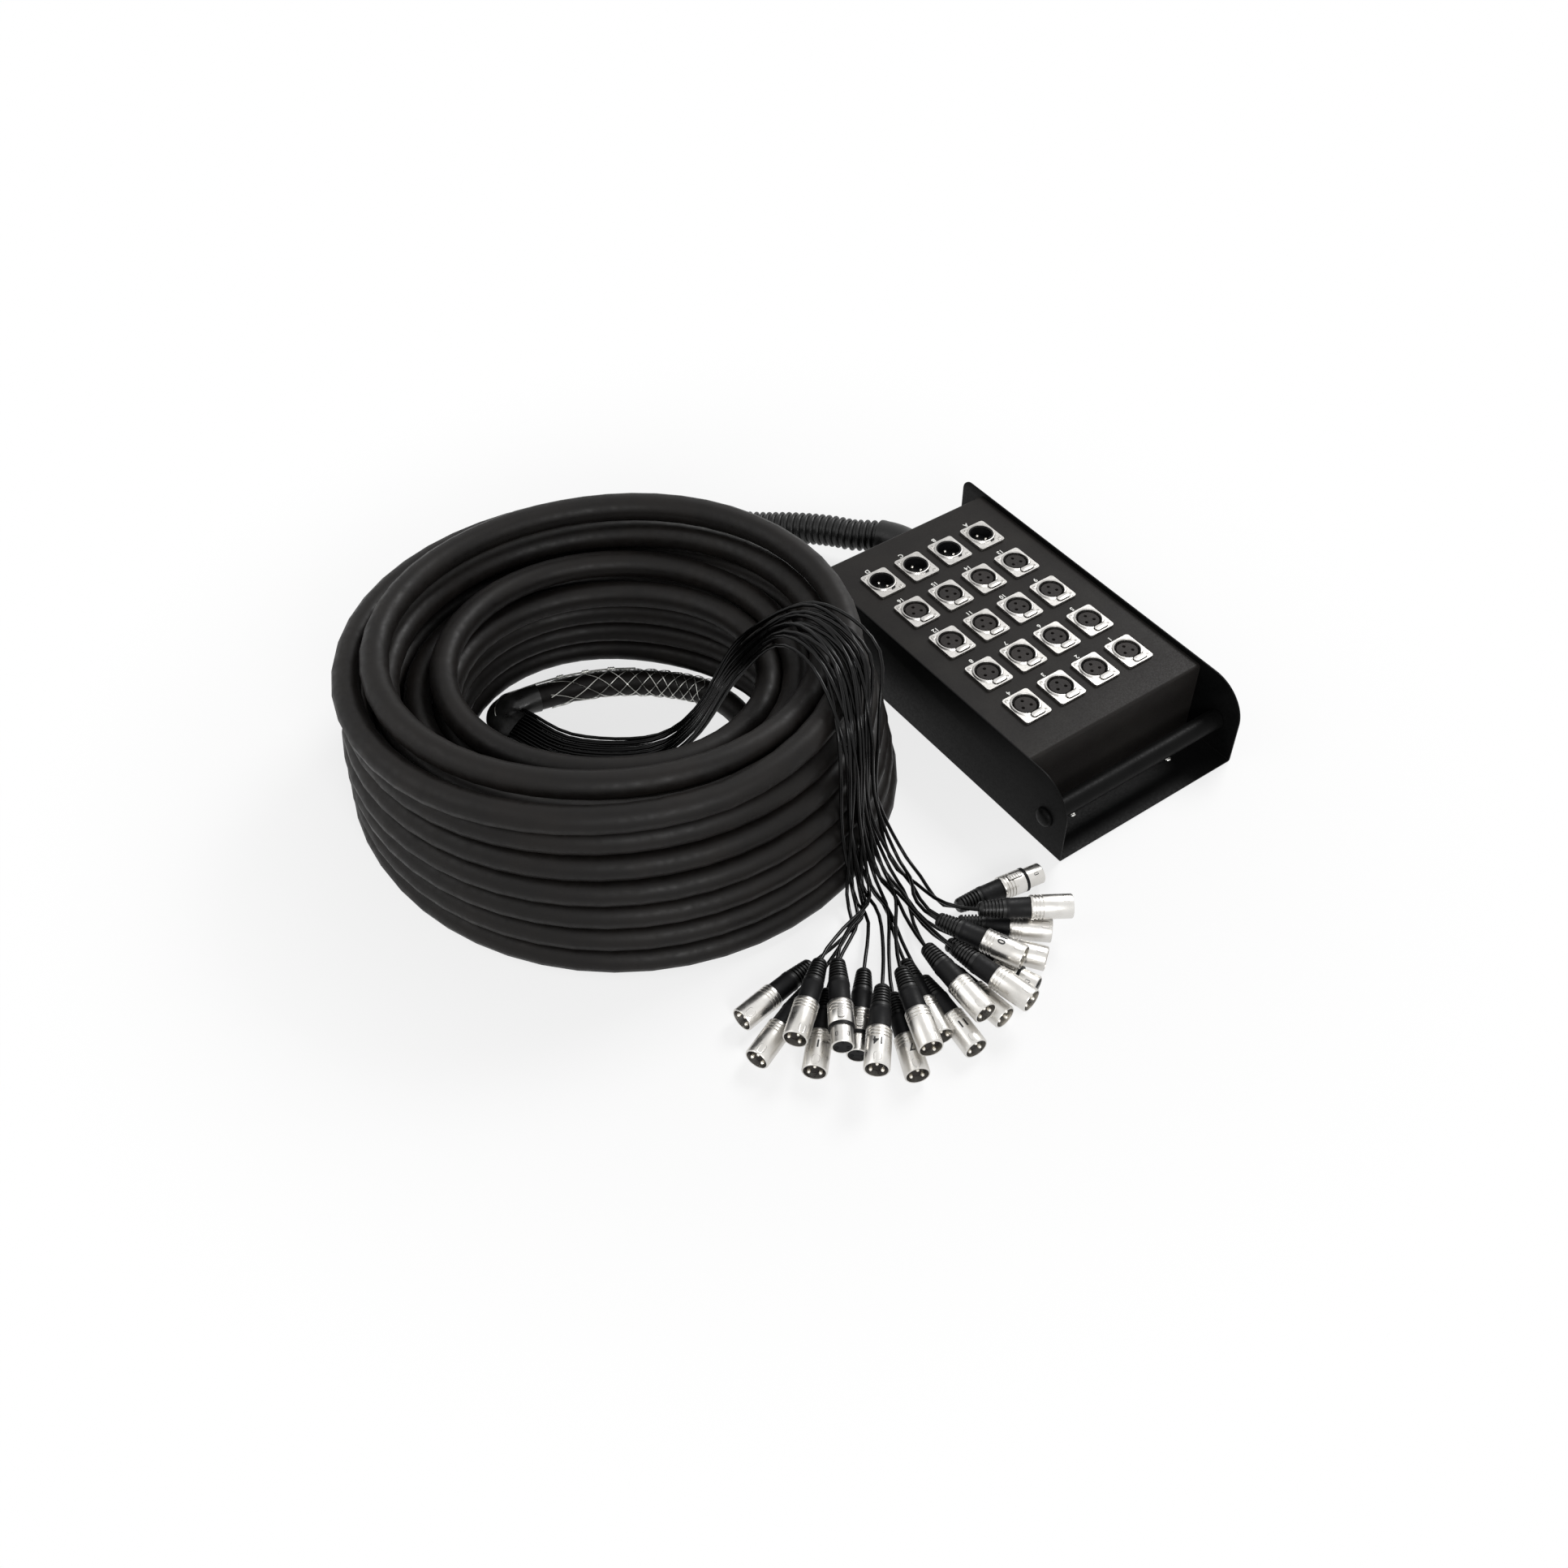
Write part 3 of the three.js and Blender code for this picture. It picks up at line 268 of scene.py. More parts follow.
class Shape:
    """Points in millimetres and faces, each face with the number of its finish."""

    def __init__(self) -> None:
        """Starts an empty shape, to which each method adds and which it returns."""
        self.points: list[Vector] = []
        self.faces: list[list[int]] = []
        self.slots: list[int] = []

    def add(
        self,
        points: Iterable[Point],
        faces: Sequence[Sequence[int]],
        slot: int | Sequence[int] = 0,
        place: Matrix | None = None,
    ) -> Shape:
        """Adds points and faces, moved by a matrix if there is one."""
        start = len(self.points)
        self.points += [place @ Vector(p) if place else Vector(p) for p in points]
        self.faces += [[start + i for i in face] for face in faces]
        self.slots += [slot] * len(faces) if isinstance(slot, int) else slot
        return self

    def join(self, other: Shape, place: Matrix | None = None) -> Shape:
        """Adds a copy of another shape, moved by a matrix if there is one."""
        return self.add(other.points, other.faces, other.slots, place)

    def rings(
        self,
        rings: Sequence[Sequence[Point]],
        slot: int = 0,
        closed: bool = False,
        place: Matrix | None = None,
    ) -> Shape:
        """Skins rings of equal count, with end caps unless the last ring meets the first."""
        count, total = len(rings[0]), len(rings)
        faces = []
        for ring in range(total if closed else total - 1):
            low, high = ring * count, (ring + 1) % total * count
            for side in range(count):
                beside = (side + 1) % count
                faces.append([low + side, low + beside, high + beside, high + side])
        if not closed:
            faces.append(list(range(count))[::-1])
            faces.append([(total - 1) * count + side for side in range(count)])
        return self.add([point for ring in rings for point in ring], faces, slot, place)

    def turned(
        self, profile: Sequence[Pair], sides: int, slot: int = 0, place: Matrix | None = None
    ) -> Shape:
        """Turns (radius, height) pairs round +Z; they start and end on the axis, or close."""
        points: list[Point] = []
        rows: list[list[int]] = []
        for radius, height in profile:
            count = sides if radius > 1e-6 else 1
            rows.append([len(points) + i for i in range(count)])
            for i in range(count):
                angle = 2 * math.pi * i / sides
                points.append((radius * math.cos(angle), radius * math.sin(angle), height))
        faces = []
        pairs = list(zip(rows, rows[1:]))
        if len(rows[0]) > 1 and len(rows[-1]) > 1:
            pairs.append((rows[-1], rows[0]))
        for low, high in pairs:
            for i in range(sides):
                j = (i + 1) % sides
                corners = [low[i % len(low)], low[j % len(low)]]
                corners += [high[j % len(high)], high[i % len(high)]]
                face = list(dict.fromkeys(corners))
                if len(face) > 2:
                    faces.append(face)
        return self.add(points, faces, slot, place)

    def cylinder(
        self,
        radius: float,
        low: float,
        high: float,
        sides: int,
        slot: int = 0,
        place: Matrix | None = None,
    ) -> Shape:
        """Adds a cylinder round +Z between two heights."""
        profile = [(0.0, low), (radius, low), (radius, high), (0.0, high)]
        return self.turned(profile, sides, slot, place)

    def block(
        self,
        size: Sequence[float],
        low: float,
        high: float,
        slot: int = 0,
        place: Matrix | None = None,
    ) -> Shape:
        """Raises the rounded rectangle of a width, length and corner between two heights."""
        outline = rounded_rectangle(*size)
        return self.rings([[(x, y, z) for x, y in outline] for z in (low, high)], slot, place=place)

    def tube(self, line: Line, radius: float, sides: int) -> Shape:
        """Skins a round tube along a line."""
        return self.rings(hoops(line, radius, sides))

    def piece(
        self, name: str, finishes: Sequence[Finish], bevel: float = 0.0, crease: float = 38.0
    ) -> Piece:
        """Makes the shape an object at the origin, in metres.

        Args:
            name: The piece's name.
            finishes: The finishes that the faces' numbers name.
            bevel: Width of the bevel on sharp edges, in millimetres.
            crease: Edges that turn by more than this many degrees stay sharp.

        Returns:
            The object.
        """
        mesh = bpy.data.meshes.new(name)
        mesh.from_pydata([point * MM for point in self.points], [], self.faces)
        mesh.polygons.foreach_set("material_index", self.slots)
        for finish in finishes:
            mesh.materials.append(finish.material())
        tidy(mesh, bevel, crease)
        return new_object(name, mesh)


def new_object(name: str, data: bpy.types.ID) -> Piece:
    """A new object in the scene."""
    made = bpy.data.objects.new(name, data)
    bpy.context.scene.collection.objects.link(made)
    return made


def tidy(mesh: bpy.types.Mesh, bevel: float, crease: float) -> None:
    """Turns faces outwards, bevels sharp edges and shades the rest smooth."""
    limit = math.radians(crease)
    shape = bmesh.new()
    shape.from_mesh(mesh)
    bmesh.ops.recalc_face_normals(shape, faces=shape.faces)
    if bevel:
        sharp = [e for e in shape.edges if e.is_manifold and e.calc_face_angle(0) > limit]
        rounding = {"segments": 2, "profile": 0.6, "affect": "EDGES", "clamp_overlap": True}
        bmesh.ops.bevel(shape, geom=sharp, offset=bevel * MM, **rounding)
    for face in shape.faces:
        face.smooth = True
    for edge in shape.edges:
        edge.smooth = edge.is_manifold and edge.calc_face_angle(0) < limit
    shape.to_mesh(mesh)
    shape.free()


def round_ring(
    centre: Vector, side: Vector, up: Vector, width: float, height: float, sides: int
) -> list[Vector]:
    """An oval ring of points about a centre."""
    angles = [2 * math.pi * i / sides for i in range(sides)]
    return [centre + side * (width * math.cos(a)) + up * (height * math.sin(a)) for a in angles]


def headings(line: Line) -> list[Vector]:
    """Direction of a line at each of its points."""
    last = len(line) - 1
    return [(line[min(i + 1, last)] - line[max(i - 1, 0)]).normalized() for i in range(last + 1)]


def frames_along(line: Line) -> list[Frame]:
    """Points of a line, each with a side and an up vector that turn as little as they can."""
    ahead = headings(line)
    start = Vector((0, 0, 1)) if abs(ahead[0].z) < 0.9 else Vector((1, 0, 0))
    up = (start - ahead[0] * start.dot(ahead[0])).normalized()
    frames = []
    for point, heading in zip(line, ahead):
        up = (up - heading * up.dot(heading)).normalized()
        frames.append((point, up.cross(heading), up))
    return frames


def hoops(line: Line, radii: float | Sequence[float], sides: int) -> list[list[Vector]]:
    """Round rings along a line, of one radius or of one radius for each point."""
    sizes = radii if isinstance(radii, Sequence) else [radii] * len(line)
    return [round_ring(*frame, size, size, sides) for frame, size in zip(frames_along(line), sizes)]


def smooth_line(points: Line, count: int) -> list[Vector]:
    """A centripetal Catmull-Rom line through points, in a number of even steps.

    Args:
        points: The points to pass through.
        count: How many points the result has.

    Returns:
        The points of the smooth line.
    """
    line = [points[0] * 2 - points[1], *points, points[-1] * 2 - points[-2]]
    dense: list[Vector] = []
    for group in zip(line, line[1:], line[2:], line[3:]):
        knots = [0.0]
        for a, b in zip(group, group[1:]):
            knots.append(knots[-1] + max((b - a).length, 1e-6) ** 0.5)
        for step in range(FINE_STEPS):
            t = knots[1] + (knots[2] - knots[1]) * step / FINE_STEPS
            level = list(group)
            for spans in (((0, 1), (1, 2), (2, 3)), ((0, 2), (1, 3)), ((1, 2),)):
                mixes = []
                for (low, high), a, b in zip(spans, level, level[1:]):
                    span = knots[high] - knots[low]
                    mixes.append(a * ((knots[high] - t) / span) + b * ((t - knots[low]) / span))
                level = mixes
            dense.append(level[0])
    dense.append(points[-1].copy())
    return even_steps(dense, count)


def even_steps(line: Line, count: int) -> list[Vector]:
    """A line's points at even distances along it."""
    array = np.array(line, float)
    reach = np.concatenate([[0], np.cumsum(np.linalg.norm(np.diff(array, axis=0), axis=1))])
    stops = np.linspace(0, reach[-1], count)
    columns = [np.interp(stops, reach, array[:, axis]) for axis in range(3)]
    return [Vector(point) for point in zip(*columns)]


def vectors(points: Iterable[Point]) -> list[Vector]:
    """Points as vectors."""
    return [Vector(point) for point in points]


def length_of(line: Line) -> float:
    """Length of a line of points, in its own unit."""
    return sum((b - a).length for a, b in zip(line, line[1:]))


def eased(share: float) -> float:
    """A share from 0 to 1 that starts and ends gently."""
    return share * share * (3 - 2 * share)


def arc(centre: Pair, radius: float, start: float, end: float, steps: int) -> list[Pair]:
    """Points of an arc between two angles in degrees."""
    angles = [math.radians(start + (end - start) * i / steps) for i in range(steps + 1)]
    return [(centre[0] + radius * math.cos(a), centre[1] + radius * math.sin(a)) for a in angles]


def shift(x: float, y: float, z: float) -> Matrix:
    """A move by three distances."""
    return Matrix.Translation((x, y, z))


def spin(degrees: float, axis: str) -> Matrix:
    """A turn by degrees about an axis."""
    return Matrix.Rotation(math.radians(degrees), 4, axis)


def on_circle(radius: float, angles: Sequence[float]) -> list[Pair]:
    """Points on a circle about the middle, at angles in degrees."""
    return [(radius * math.cos(a), radius * math.sin(a)) for a in map(math.radians, angles)]


def rounded_rectangle(width: float, length: float, corner: float, steps: int = 6) -> list[Pair]:
    """Outline of a rectangle with round corners, about the middle."""
    x, y = width / 2 - corner, length / 2 - corner
    outline: list[Pair] = []
    for sign_x, sign_y, start in ((1, 1, 0), (-1, 1, 90), (-1, -1, 180), (1, -1, 270)):
        outline += arc((sign_x * x, sign_y * y), corner, start, start + 90, steps)
    return outline


def evaluated(source: Piece, unit: float = MM) -> Shape:
    """An object's evaluated geometry as a shape; the object is removed."""
    graph = bpy.context.evaluated_depsgraph_get()
    mesh = bpy.data.meshes.new_from_object(source.evaluated_get(graph))
    source.modifiers.clear()
    bpy.data.objects.remove(source)
    faces = [list(face.vertices) for face in mesh.polygons]
    return Shape().add([vertex.co / unit for vertex in mesh.vertices], faces)


def carved(body: Shape, tool: Shape, keep: Cut = Cut.OUTSIDE) -> Shape:
    """What an exact boolean keeps of a body, its faces on slot 0."""
    solid, cutter = body.piece("boolean_body", [RUBBER]), tool.piece("boolean_tool", [RUBBER])
    cut = solid.modifiers.new("cut", "BOOLEAN")
    cut.operation, cut.object, cut.solver = keep.value, cutter, "EXACT"
    result = evaluated(solid)
    bpy.data.objects.remove(cutter)
    return result


def lettering(text: str, height: float, depth: float) -> Shape:
    """A word as a thin closed shape, its middle at the origin and its top towards +Y."""
    curve = bpy.data.curves.new("lettering", "FONT")
    curve.body = text
    curve.size = 1.0
    curve.align_x = curve.align_y = "CENTER"
    curve.offset = 0.022
    curve.resolution_u = 3
    scale = height / 0.7  # capitals are about 0.7 of the font's size
    curve.extrude = depth / 2 / scale
    return evaluated(new_object("lettering", curve), 1 / scale)


# Geometry Nodes


class RibsOnCurve:
    """Round ribs at an even pitch along a curve."""

    INPUTS = {"Pitch": 0.0056, "Ring radius": 0.0125, "Bead radius": 0.0015}

    def __init__(self) -> None:
        """Builds the tree with its named inputs."""
        self.tree = tree = new_tree("ribs_on_curve", self.INPUTS)
        given = add_node(tree, "NodeGroupInput").outputs
        along = {"Curve": given["Geometry"], "Length": given["Pitch"]}
        spaced = add_node(tree, "GeometryNodeResampleCurve", along, mode="LENGTH").outputs[0]
        circles = []
        for sides, radius in ((40, given["Ring radius"]), (10, given["Bead radius"])):
            sizes = {"Resolution": sides, "Radius": radius}
            circles.append(add_node(tree, "GeometryNodeCurvePrimitiveCircle", sizes).outputs[0])
        sweep = {"Curve": circles[0], "Profile Curve": circles[1]}
        rib = add_node(tree, "GeometryNodeCurveToMesh", sweep).outputs[0]
        tangent = {"Vector": add_node(tree, "GeometryNodeInputTangent").outputs[0]}
        turn = add_node(tree, "FunctionNodeAlignRotationToVector", tangent, axis="Z").outputs[0]
        end_tree(tree, given, {"Points": spaced, "Instance": rib, "Rotation": turn})

    def mesh(self, line: Line, values: dict[str, float], finish: Finish) -> Shape:
        """The ribs along a line of points in millimetres."""
        return grown(cable("rib_line", line, 0.0, finish), self.tree, values, finish)


class CopiesOnPoints:
    """Copies of one small piece on points, each turned by a seeded random angle."""

    INPUTS = {"Least turn": 0.0, "Most turn": 6.28}
    SEED = 7

    def __init__(self) -> None:
        """Builds the tree with its named inputs."""
        self.tree = tree = new_tree("copies_on_points", self.INPUTS)
        tree.interface.new_socket(name="Piece", in_out="INPUT", socket_type="NodeSocketObject")
        given = add_node(tree, "NodeGroupInput").outputs
        info = add_node(tree, "GeometryNodeObjectInfo", {"Object": given["Piece"]})
        span = {2: given["Least turn"], 3: given["Most turn"], "Seed": self.SEED}
        turn = add_node(tree, "FunctionNodeRandomValue", span, data_type="FLOAT").outputs[1]
        copies = {
            "Points": given["Geometry"],
            "Instance": info.outputs["Geometry"],
            "Rotation": add_node(tree, "ShaderNodeCombineXYZ", {"Z": turn}).outputs[0],
        }
        end_tree(tree, given, copies)

    def mesh(
        self, places: Sequence[Point], piece: Shape, values: dict[str, float], finish: Finish
    ) -> Shape:
        """Copies of a piece at places in millimetres."""
        source = Shape().add(places, []).piece("copy_places", [finish])
        master = piece.piece("copy_master", [finish])
        shape = grown(source, self.tree, {**values, "Piece": master}, finish)
        bpy.data.objects.remove(master)
        return shape


def new_tree(name: str, inputs: dict[str, float]) -> NodeTree:
    """A Geometry Nodes tree with a geometry, a finish and named sizes."""
    tree = bpy.data.node_groups.new(name, "GeometryNodeTree")
    face = tree.interface
    face.new_socket(name="Geometry", in_out="INPUT", socket_type="NodeSocketGeometry")
    face.new_socket(name="Geometry", in_out="OUTPUT", socket_type="NodeSocketGeometry")
    face.new_socket(name="Finish", in_out="INPUT", socket_type="NodeSocketMaterial")
    for key, value in inputs.items():
        socket = face.new_socket(name=key, in_out="INPUT", socket_type="NodeSocketFloat")
        socket.default_value = value
    return tree


def end_tree(
    tree: NodeTree, given: bpy.types.NodeOutputs, copies: dict[str, NodeSocket]
) -> None:
    """Ends a tree in copies on points, Realize Instances and Set Material."""
    spread = add_node(tree, "GeometryNodeInstanceOnPoints", copies).outputs[0]
    real = add_node(tree, "GeometryNodeRealizeInstances", {0: spread}).outputs[0]
    dress = {"Geometry": real, "Material": given["Finish"]}
    dressed = add_node(tree, "GeometryNodeSetMaterial", dress).outputs[0]
    add_node(tree, "NodeGroupOutput", {0: dressed})


def grown(source: Piece, tree: NodeTree, values: dict[str, object], finish: Finish) -> Shape:
    """What a tree makes of an object, which is then removed.

    Args:
        source: The object that carries the tree's geometry.
        tree: The tree.
        values: Its inputs by name.
        finish: The finish that the tree sets.

    Returns:
        The result as a shape in millimetres.
    """
    grow = source.modifiers.new("grow", "NODES")
    grow.node_group = tree
    inputs = [item for item in tree.interface.items_tree if getattr(item, "in_out", "") == "INPUT"]
    named = {item.name: item.identifier for item in inputs}
    for key, value in {"Finish": finish.material(), **values}.items():
        grow[named[key]] = value
    source.update_tag()
    return evaluated(source)


def cable(name: str, line: Line, radius: float, finish: Finish, sides: int = 3) -> Piece:
    """A round cable as one open spline through points in millimetres."""
    curve = bpy.data.curves.new(name, "CURVE")
    curve.dimensions = "3D"
    curve.bevel_depth = radius * MM
    curve.bevel_resolution = sides
    curve.use_fill_caps = radius > 0
    spline = curve.splines.new("POLY")
    spline.points.add(len(line) - 1)
    for slot, point in zip(spline.points, line):
        slot.co = (*(point * MM), 1.0)
    curve.materials.append(finish.material())
    return new_object(name, curve)


# The camera and the studio


@dataclass(frozen=True)
class Studio:
    """The camera at the photograph's angle, a pale floor and soft light."""

    place: Point = (-744.0, -718.9, 973.1)
    azimuth: float = -35.5976
    elevation: float = 47.0367
    lens: float = 38.122
    sensor: float = 36.0
    floor_half: float = 6000.0
    floor_height: float = -0.6
    glow_centre: Point = (-0.2, 0.05, 0.0)
    world_light: float = 0.22
    aim: Point = (-0.15, 0.05, 0.05)
    lamps: tuple[tuple[str, Point, float, float], ...] = (
        ("key", (1.45, 0.35, 1.75), 0.85, 35.0),
        ("fill", (-1.5, 0.5, 1.3), 1.2, 6.0),
        ("front", (-0.75, -1.45, 1.0), 0.5, 13.0),
    )

    def camera(self) -> None:
        """Makes the camera."""
        data = bpy.data.cameras.new("photo_camera")
        data.lens, data.sensor_width = self.lens, self.sensor
        data.clip_start, data.clip_end = 0.05, 50.0
        camera = new_object("photo_camera", data)
        a, e = math.radians(self.azimuth), math.radians(self.elevation)
        back = Vector((math.sin(a) * math.cos(e), -math.cos(a) * math.cos(e), math.sin(e)))
        camera.location = Vector(self.place) * MM
        camera.rotation_mode = "QUATERNION"
        camera.rotation_quaternion = (-back).to_track_quat("-Z", "Y")
        bpy.context.scene.camera = camera

    def floor(self) -> None:
        """Makes the pale floor, which keeps the object's shadow."""
        signs = ((-1, -1), (1, -1), (1, 1), (-1, 1))
        corners = [(x * self.floor_half, y * self.floor_half, self.floor_height) for x, y in signs]
        floor = Shape().add(corners, [(0, 1, 2, 3)]).piece("studio_floor", [WHITE_INK])
        material = bpy.data.materials.new("white_paper_floor")
        tree = empty_tree(material)
        paper = add_node(tree, "ShaderNodeBsdfDiffuse", {"Color": linear("#f4f4f4")}).outputs[0]
        light = {"Color": linear("#ffffff"), "Strength": 1.0}
        glow = add_node(tree, "ShaderNodeEmission", light).outputs[0]
        # The paper's own glow takes over away from the object, so that it ends in plain white
        ends = {0: add_node(tree, "ShaderNodeTexCoord").outputs["Object"], 1: self.glow_centre}
        reach = add_node(tree, "ShaderNodeVectorMath", ends, operation="DISTANCE").outputs["Value"]
        fade = {"Value": reach, "From Min": 0.27, "From Max": 0.62, "To Min": 0.75, "To Max": 1.0}
        glowing = add_node(tree, "ShaderNodeMapRange", fade, interpolation_type="SMOOTHSTEP")
        share = self._seen(tree, glowing.outputs["Result"])
        mixed = add_node(tree, "ShaderNodeMixShader", {0: share, 1: paper, 2: glow})
        add_node(tree, "ShaderNodeOutputMaterial", {"Surface": mixed.outputs[0]})
        floor.data.materials[0] = material
        floor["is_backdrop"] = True

    @staticmethod
    def _seen(tree: NodeTree, share: float | NodeSocket) -> NodeSocket:
        """A share for camera, glossy and transmission rays, and nothing for others."""
        path = add_node(tree, "ShaderNodeLightPath").outputs
        seen = path["Is Camera Ray"]
        steps = (("MAXIMUM", path["Is Glossy Ray"]), ("MAXIMUM", path["Is Transmission Ray"]))
        for operation, value in (*steps, ("MULTIPLY", share)):
            node = add_node(tree, "ShaderNodeMath", {0: seen, 1: value}, operation=operation)
            seen = node.outputs[0]
        return seen

    def light(self) -> None:
        """Makes a white world, a soft key from the right rear and two weaker lamps."""
        world = bpy.data.worlds.new("white_studio")
        bpy.context.scene.world = world
        tree = empty_tree(world)
        mix: dict[str | int, object] = {0: self._seen(tree, 1.0)}
        for number, strength in ((1, self.world_light), (2, 1.0)):
            sky = {"Color": linear("#ffffff"), "Strength": strength}
            mix[number] = add_node(tree, "ShaderNodeBackground", sky).outputs[0]
        mixed = add_node(tree, "ShaderNodeMixShader", mix)
        add_node(tree, "ShaderNodeOutputWorld", {"Surface": mixed.outputs[0]})
        for name, place, size, power in self.lamps:
            data = bpy.data.lights.new(name, "AREA")
            data.size, data.energy = size, power
            lamp = new_object(name, data)
            lamp.location = place
            towards = Vector(place) - Vector(self.aim)
            lamp.rotation_euler = towards.to_track_quat("Z", "Y").to_euler()
        bpy.context.scene.view_settings.view_transform = "Standard"


# The multicore, its conduit and its breakout


@dataclass(frozen=True)
class Stretch:
    """One stretch of the winding: its turns, rows and layers."""

    turns: float
    from_row: float
    to_row: float
    from_layer: int
    to_layer: int

    def climb(self, share: float) -> float:
        """Share of the climb: the outermost layer lies level, then steps up in each turn."""
        if self.from_layer or self.to_layer:
            return share
        turned = share * self.turns
        part = max(0.0, (turned - math.floor(turned) - STEP_START) / (1 - STEP_START))
        return (math.floor(turned) + eased(part)) / self.turns


@dataclass
class Multicore:
    """Sleeve, conduit, coil, free end, pulling grip and breakout boot."""

    diameter: float = 21.0
    centre: Pair = (-311.0, 105.0)
    lean: float = -8.0
    row_height: float = 21.7
    crossover_rise: float = 6.0
    start_turn: float = 86 / 360
    floor_gap: float = 0.3
    steps: int = 48
    end_steps: int = 16  # steps a turn that the coil's two ends are measured with
    lead: float = 4.0
    rows: tuple[float, ...] = (0, 3, 5, 7)
    layers: tuple[tuple[float, ...], ...] = (
        (201, 190, 178, 178),
        (177.5, 167.5, 154.5, 153),
        (154, 145, 132, 131),
        (130.5, 122.5, 109.5, 109),
        (109, 109, 109, 109),
    )
    floor_swell: tuple[Pair, ...] = ((-2, 0), (-4, -8), (1, -2))
    top_swell: tuple[Pair, ...] = ((-4, -7), (5, -8), (-1, 0.5))
    winding: tuple[Stretch, ...] = (
        Stretch(6, 0, 6, 0, 0),
        Stretch(0.5, 6, 6, 0, 0),
        Stretch(0.5, 6, 7, 0, 1),
        Stretch(4.9, 7, 0, 1, 1),
        Stretch(0.5, 0, 0, 1, 2),
        Stretch(4.4, 0, 5, 2, 2),
        Stretch(0.5, 5, 5, 2, 3),
        Stretch(4.17, 5, 0, 3, 3),
        Stretch(0.14, 0, 0, 3, 4),
    )
    sleeve: tuple[Point, ...] = (
        (OUTLET_X, 148.3, OUTLET_Z),
        (22, 164, 36),
        (18, 181, 34),
        (9, 196, 31.5),
        (-2, 209, 29),
    )
    conduit: tuple[Point, ...] = (
        (-12, 224, 28),
        (-24, 241, 25.5),
        (-38, 259, 22),
        (-54, 277, 18),
        (-74, 297, 15.5),
        (-96, 312, 14.3),
        (-122, 323, 14.3),
    )
    conduit_radius: float = 14.0
    conduit_groove: float = 11.9
    conduit_bore: float = 11.3
    free_end: tuple[Point, ...] = (
        (-214, 56, 10.8),
        (-208, 82, 10.8),
        (-207, 108, 10.8),
        (-214, 132, 10.8),
        (-230, 154, 10.8),
        (-250, 173, 10.8),
        (-276, 190, 10.8),
        (-305, 202, 10.8),
        (-332, 207, 12.3),
    )
    grip: tuple[Point, Point] = ((-214, 132, 10.8), (-328, 206.5, 12))
    grip_wires: int = 5
    grip_turns: float = 3.3
    grip_slowing: float = 0.42  # how much the wires straighten towards the far end
    grip_lift: float = 0.75
    grip_weave: float = 0.28
    grip_wire_radius: float = 0.38
    crimps: tuple[float, ...] = (0.6, 0.75, 0.9)
    crimp_place: Pair = (9.6, 7.4)  # above and beside the grip's middle
    eye: tuple[Point, ...] = ((-347, 217, 21), (-361, 216, 23), (-373, 205, 22), (-375, 192, 15))
    boot: tuple[Point, ...] = ((-354, 211, 13), (-364, 207, 14), (-368, 197, 14), (-363, 187, 13))
    boot_back: float = 11.6
    boot_mouth: Pair = (18, 5.2)

    def radius(self, layer: int, row: float) -> float:
        """Radius of a layer at a row."""
        return float(np.interp(row, self.rows, self.layers[layer]))

    def swell(self, angle: float, height: float) -> float:
        """How far a loop swells beyond its radius at an angle and a height."""
        total = 0.0
        for index, (low, high) in enumerate(zip(self.floor_swell, self.top_swell)):
            wave = (index + 1) * angle
            total += (low[0] + (high[0] - low[0]) * height) * math.cos(wave)
            total += (low[1] + (high[1] - low[1]) * height) * math.sin(wave)
        return total

    def point(self, turn: float, radius: float, row: float, rise: float) -> Vector:
        """A point of the coil's centre line: its loops aren't quite round and lean."""
        angle = 2 * math.pi * turn
        height = row / 6
        reach = radius + self.swell(angle, height)
        x = self.centre[0] + self.lean * height + reach * math.cos(angle)
        y = self.centre[1] + reach * math.sin(angle)
        return Vector((x, y, self.diameter / 2 + self.floor_gap + self.row_height * row + rise))

    def loops(self, steps: int) -> list[Vector]:
        """Centre line of the coil at a number of steps a turn."""
        points = []
        turn = self.start_turn
        for index, part in enumerate(self.winding):
            count = round(part.turns * steps)
            final = index == len(self.winding) - 1
            climbs = part.from_layer != part.to_layer and part.from_row > 0
            for i in range(count + (1 if final else 0)):
                share = i / count
                row = part.from_row + (part.to_row - part.from_row) * part.climb(share)
                low = self.radius(part.from_layer, row)
                radius = low + (self.radius(part.to_layer, row) - low) * eased(share)
                rise = self.crossover_rise * math.sin(math.pi * share) if climbs else 0.0
                points.append(self.point(turn + part.turns * share, radius, row, rise))
            turn += part.turns
        return points

    def ends(self) -> tuple[list[Vector], list[Vector]]:
        """The straight lead into the coil, and the start of the free end."""
        coarse = self.loops(self.end_steps)
        back = (coarse[0] - coarse[1]).to_2d().to_3d().normalized()
        on = (coarse[-1] - coarse[-2]).to_2d().to_3d().normalized()
        rise = Vector((0, 0, self.conduit_radius - self.diameter / 2))
        shares = (self.lead + 1, self.lead - 1)
        lead = [coarse[0] + back * (share * self.diameter) + rise for share in shares]
        out = [coarse[-1] + on * reach for reach in (self.diameter, self.diameter + 5)]
        return lead, out

    def centre_line(self) -> list[Vector]:
        """The whole multicore from inside the conduit to inside the boot."""
        lead, out = self.ends()
        loops = self.loops(self.steps)
        free = smooth_line([loops[-1], *out, *map(Vector, self.free_end)], 36)
        away = (free[-1] - free[-2]).normalized()
        start = smooth_line([*lead, loops[1], loops[3]], 9)
        return [*start[:-1], *loops[3:-1], *free, free[-1] + away * 8]

